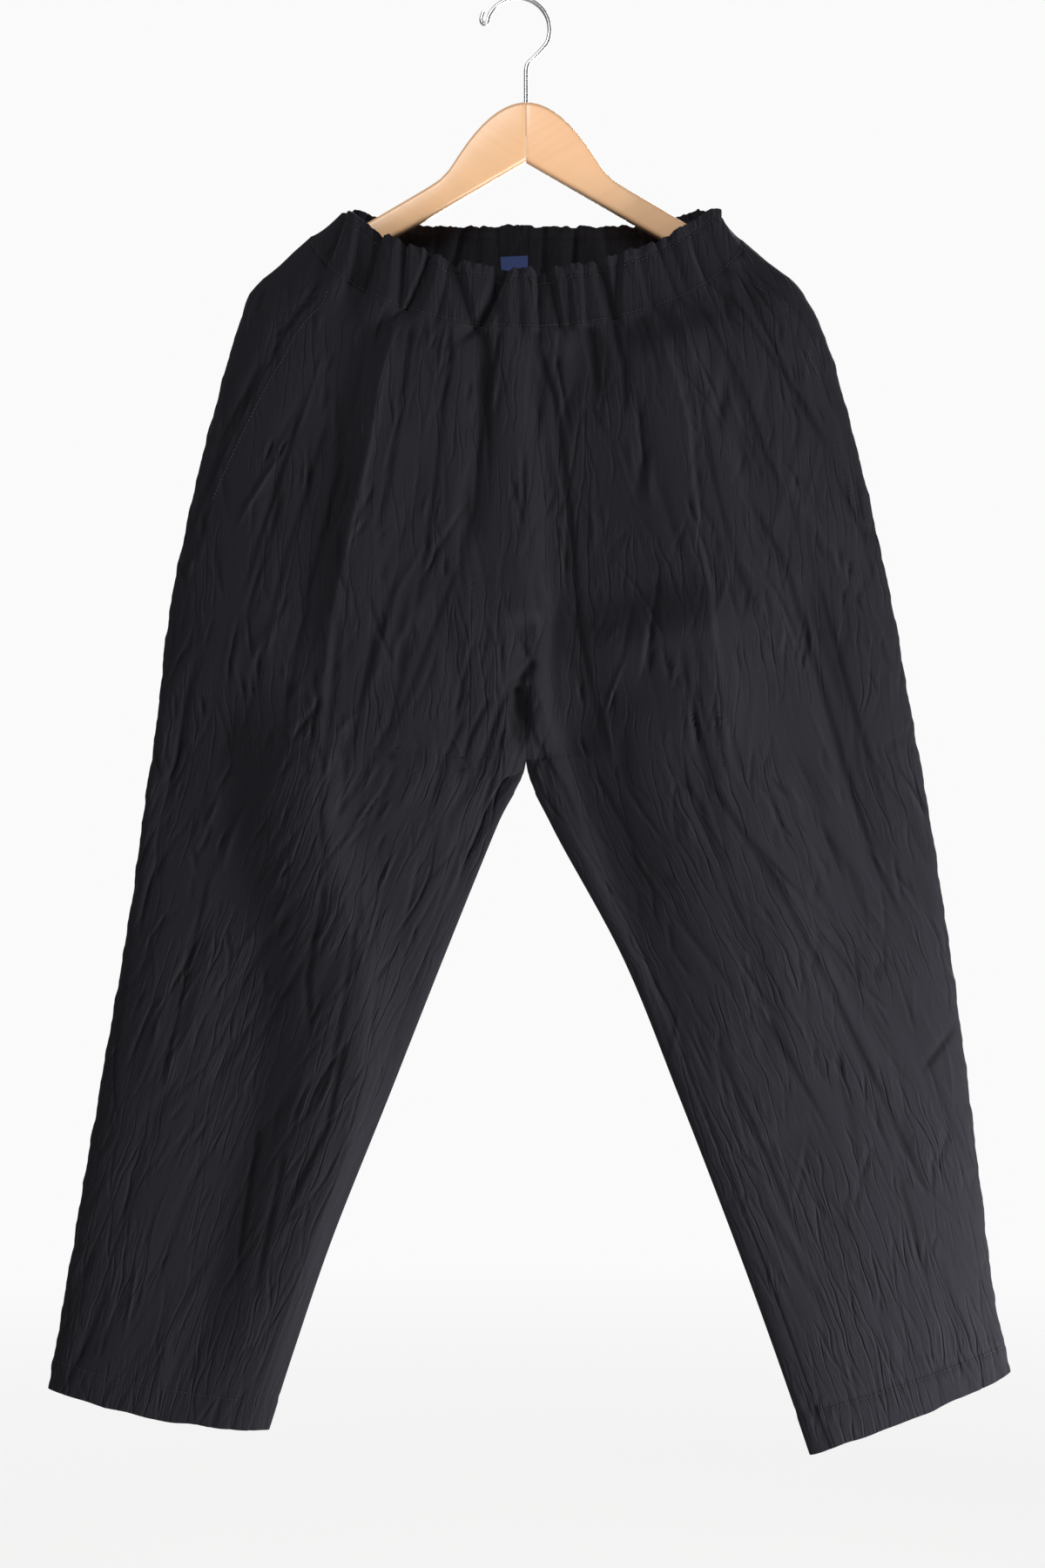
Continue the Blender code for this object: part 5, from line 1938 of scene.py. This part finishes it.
@dataclass
class Stitching:
    """Rows of lock stitches, each a small twisted bar lying along the cloth."""

    thread: Material
    pitch: float = 0.0031
    length: float = 0.0023
    half_width: float = 0.00026
    proud: float = 0.7
    rings: int = 4
    sides: int = 6

    def bar(self) -> tuple[Array, Array]:
        """One stitch along x, its points and faces.

        Returns:
            The points, and each face's point numbers.
        """
        places = np.linspace(-1.0, 1.0, self.rings + 2)[1:-1]
        turns = np.linspace(0.0, FULL_TURN, self.sides, endpoint=False)
        round_it = np.sqrt(1.0 - (places * 0.9) ** 2)
        points = [(-self.length / 2.0, 0.0, 0.0)]
        for place, size in zip(places, round_it):
            points += [(place * self.length / 2.0, self.half_width * size * math.cos(a),
                        self.half_width * size * math.sin(a)) for a in turns]
        points.append((self.length / 2.0, 0.0, 0.0))
        last = len(points) - 1
        faces = []
        for k in range(self.sides):
            after = (k + 1) % self.sides
            faces.append((0, 1 + after, 1 + k, 1 + k))
            for ring in range(self.rings - 1):
                a, b = 1 + ring * self.sides, 1 + (ring + 1) * self.sides
                faces.append((a + k, a + after, b + after, b + k))
            final = 1 + (self.rings - 1) * self.sides
            faces.append((final + k, final + after, last, last))
        return np.array(points), np.array(faces)

    def sew(self, name: str, runs: list[tuple[Array, Array]]) -> Piece:
        """Sews rows of stitches.

        Args:
            name: the piece's name.
            runs: each row's points and the directions out of the cloth there.

        Returns:
            One piece with all the stitches.
        """
        bar, bar_faces = self.bar()
        points, faces = [], []
        for line, out in runs:
            walked = walk(line)
            places = np.arange(self.pitch, walked[-1] - self.pitch, self.pitch)
            for place in places:
                at, before, after, up = (
                    np.array([np.interp(where, walked, values[:, k]) for k in range(3)])
                    for where, values in ((place, line), (place - MM, line),
                                          (place + MM, line), (place, out))
                )
                along_it = after - before
                along_it = along_it / np.linalg.norm(along_it)
                up = up - along_it * up.dot(along_it)
                up = up / np.linalg.norm(up)
                turn = np.stack([along_it, np.cross(up, along_it), up])
                first = len(points) * len(bar)
                points.append(bar @ turn + at + up * self.half_width * self.proud)
                faces += [tuple(dict.fromkeys(face)) for face in (bar_faces + first).tolist()]
        item = Mesher.add(name, np.concatenate(points), faces, self.thread)
        Mesher.turn_out(item)
        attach(item, BODY)
        LOG.info("%s: %d stitches", name, len(points))
        return item


@dataclass
class Hanger:
    """The wooden hanger's two arms and its wire hook."""

    thickness: float = 0.012
    half_span: float = 0.1975
    crown_top: float = -0.080
    crown_bend: float = 15.3
    bottom_apex: float = -0.1246
    slope: float = 0.58
    arm_depth: float = 0.0231
    fillet: float = 0.006
    edge_round: float = 0.0034
    joint_round: float = 0.00035
    touching: float = 1e-6
    joint_gap: float = 0.00012
    stations: int = 34
    end_height: float = 0.0085
    wire: float = 0.0016
    hook_radius: float = 0.0245
    hook_turn: tuple[float, float] = (-25.0, 155.0)
    stem_bottom: float = -0.104
    stem_top: float = -0.060
    hole: float = 0.0019
    hole_depth: float = 0.040
    bend: tuple[tuple[float, float], ...] = (
        (0.0064, -0.0550), (0.0069, -0.0515), (0.0080, -0.0488), (0.0124, -0.0444),
        (0.0178, -0.0386))
    tip: tuple[tuple[float, float], ...] = (
        (-0.0228, -0.0154), (-0.0236, -0.0176), (-0.0252, -0.0186), (-0.0271, -0.0176),
        (-0.0279, -0.0152), (-0.0274, -0.0124), (-0.0262, -0.0094))

    def top(self, dx: float) -> float:
        """Height of an arm's upper edge, dx away from the centre.

        Args:
            dx: distance from the centre.

        Returns:
            The height.
        """
        crown = self.crown_top - self.crown_bend * dx * dx
        line = self.bottom_apex + self.arm_depth - self.slope * dx
        return (crown + line + math.hypot(crown - line, self.fillet)) / 2.0

    def edges(self, dx: float) -> tuple[float, float]:
        """Heights of an arm's upper and lower edge, rounded off at its end.

        Args:
            dx: distance from the centre.

        Returns:
            The upper and the lower height.
        """
        tilt = math.atan(self.slope)
        radius = self.arm_depth / 2.0 * math.cos(tilt)
        end_x = self.half_span - radius
        end_z = self.bottom_apex + self.arm_depth / 2.0 - self.slope * end_x
        round_off = math.sqrt(max(radius**2 - (dx - end_x) ** 2, 0.0))
        upper = self.top(dx) if dx < end_x + radius * math.sin(tilt) else end_z + round_off
        low_line = self.bottom_apex - self.slope * dx
        lower = low_line if dx < end_x - radius * math.sin(tilt) else end_z - round_off
        return upper, lower

    def places(self) -> list[float]:
        """Distances from the centre of the arm's cross-sections, closer together at its ends.

        Returns:
            The distances.
        """
        radius = self.arm_depth / 2.0 * math.cos(math.atan(self.slope))
        last = self.half_span - radius + math.sqrt(radius**2 - (self.end_height / 2.0) ** 2)
        share = np.linspace(0.0, 1.0, self.stations)
        share = 0.55 * share + 0.45 * smooth_step(share)
        return (self.joint_gap + (last - self.joint_gap) * share).tolist()

    def arm(self, side: Side, wood: Material) -> Piece:
        """One arm, drawn out from a plane at the joint, with half the stem's hole.

        Args:
            side: which arm.
            wood: its finish.

        Returns:
            The arm.
        """
        places = self.places()
        high, low = self.edges(places[0])
        select()
        bpy.ops.mesh.primitive_plane_add(size=1.0, rotation=(0.0, QUARTER_TURN, 0.0))
        arm = bpy.context.active_object
        bpy.ops.object.transform_apply(location=True, rotation=True, scale=True)
        bpy.ops.object.mode_set(mode="EDIT")
        bpy.ops.transform.resize(value=(1.0, self.thickness, high - low), center_override=(0, 0, 0))
        start = CENTRE_X + side.sign * places[0]
        bpy.ops.transform.translate(value=(start, 0.0, (high + low) / 2.0))
        for before, after in zip(places[:-1], places[1:]):
            old_high, old_low = self.edges(before)
            high, low = self.edges(after)
            rise = (high + low - old_high - old_low) / 2.0
            step = side.sign * (after - before)
            bpy.ops.mesh.extrude_region_move(TRANSFORM_OT_translate={"value": (step, 0.0, rise)})
            centre = (CENTRE_X + side.sign * after, 0.0, (high + low) / 2.0)
            bpy.ops.transform.resize(value=(1.0, 1.0, (high - low) / (old_high - old_low)),
                                     center_override=centre)
        bpy.ops.mesh.select_all(action="SELECT")
        bpy.ops.mesh.normals_make_consistent(inside=False)
        self.round_edges(arm, start)
        bpy.ops.object.mode_set(mode="OBJECT")
        self.drill(arm)
        bpy.ops.object.shade_smooth_by_angle(angle=math.radians(32.0))
        return dress(arm, f"wood_arm_{side.name}", wood)

    def round_edges(self, arm: Piece, start: float) -> None:
        """Bevels the arm's long edges and its end, and barely breaks those at the joint.

        Args:
            arm: the arm, in edit mode.
            start: the joint plane's x.
        """
        for at_joint, width, steps in ((False, self.edge_round, 5), (True, self.joint_round, 2)):
            shape = bmesh.from_edit_mesh(arm.data)
            for item in (*shape.verts, *shape.edges, *shape.faces):
                item.select = False
            for edge in shape.edges:
                near = all(abs(v.co.x - start) < self.touching for v in edge.verts)
                sharp = len(edge.link_faces) == 2 and edge.calc_face_angle() > math.radians(50.0)
                if sharp and near == at_joint:
                    edge.select = True
            bmesh.update_edit_mesh(arm.data)
            bpy.ops.mesh.select_mode(type="EDGE")
            bpy.ops.mesh.bevel(offset=width, segments=steps, affect="EDGES", clamp_overlap=True)

    def drill(self, arm: Piece) -> None:
        """Cuts the stem's hole with a cylinder that is then removed.

        Args:
            arm: the arm.
        """
        select()
        bpy.ops.mesh.primitive_cylinder_add(
            vertices=32, radius=self.hole, depth=self.hole_depth,
            location=(CENTRE_X, 0.0, self.stem_bottom - MM + self.hole_depth / 2.0))
        cutter = bpy.context.active_object
        cut = arm.modifiers.new("stem hole", "BOOLEAN")
        cut.operation, cut.object, cut.solver = "DIFFERENCE", cutter, "EXACT"
        select(arm)
        bpy.ops.object.modifier_apply(modifier=cut.name)
        bpy.data.objects.remove(cutter, do_unlink=True)

    def route(self) -> Array:
        """The wire's centre line, smooth and closely spaced.

        Returns:
            The line's x and z.
        """
        centre_z = -(self.hook_radius - self.wire)
        stem = [(CENTRE_X, z) for z in np.linspace(self.stem_bottom, self.stem_top, 6)]
        radius = self.hook_radius
        arc = [(radius * math.cos(a), centre_z + radius * math.sin(a))
               for a in np.radians(np.linspace(*self.hook_turn, 19))]
        points = np.array(stem + list(self.bend) + arc + list(self.tip))
        place = np.linspace(0.0, len(points) - 1.0, 10 * (len(points) - 1) + 1)
        return np.stack([along(points[:, 0], place), along(points[:, 1], place)], axis=-1)

    def hook(self, chrome: Material) -> Piece:
        """The bent wire hook.

        Args:
            chrome: its finish.

        Returns:
            The hook.
        """
        select()
        bpy.ops.curve.primitive_nurbs_path_add()
        item = bpy.context.active_object
        curve = item.data
        curve.splines.clear()
        spline = curve.splines.new("POLY")
        route = self.route()
        spline.points.add(len(route) - 1)
        for point, (x, z) in zip(spline.points, route):
            point.co = (x, 0.0, z, 1.0)
        curve.bevel_depth, curve.bevel_resolution, curve.use_fill_caps = self.wire, 6, True
        bpy.ops.object.convert(target="MESH")
        bpy.ops.object.transform_apply(location=True, rotation=True, scale=True)
        bpy.ops.object.shade_smooth_by_angle(angle=math.radians(50.0))
        return dress(bpy.context.active_object, "wire_hook", chrome)

    def make(self) -> None:
        """Makes both arms and the hook."""
        # Lit and shaded copies of one wood: the right arm's colour is darker and the left arm's
        # warmer, as painted light and shade.
        woods = (PaleWood("pale wood, right arm", slope=-0.52, tint=0.0,
                          light=(0.800, 0.480, 0.255, 1.0)),
                 PaleWood("pale wood, left arm", slope=0.52, tint=0.30))
        for side, wood in zip(SIDES, woods):
            arm = self.arm(side, wood.make())
            declare(arm, f"hanger_arm_{side.name}")
        declare(self.hook(ChromedWire().make()), "hanger_hook")


def main() -> None:
    """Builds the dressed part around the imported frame."""
    logging.basicConfig(level=logging.INFO, format="%(message)s")
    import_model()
    Stage().make()
    cloth = CrinkledCotton().make()
    panels = Panels(cloth)
    panels.make()
    band = Waistband(cloth, WovenLabel().make())
    band.make()
    stitching = Stitching(SewingThread().make())
    stitching.sew("stitches_legs", panels.rows_of_stitches)
    stitching.sew("stitches_band", band.rows_of_stitches)
    Hanger().make()


if __name__ == "__main__":
    main()
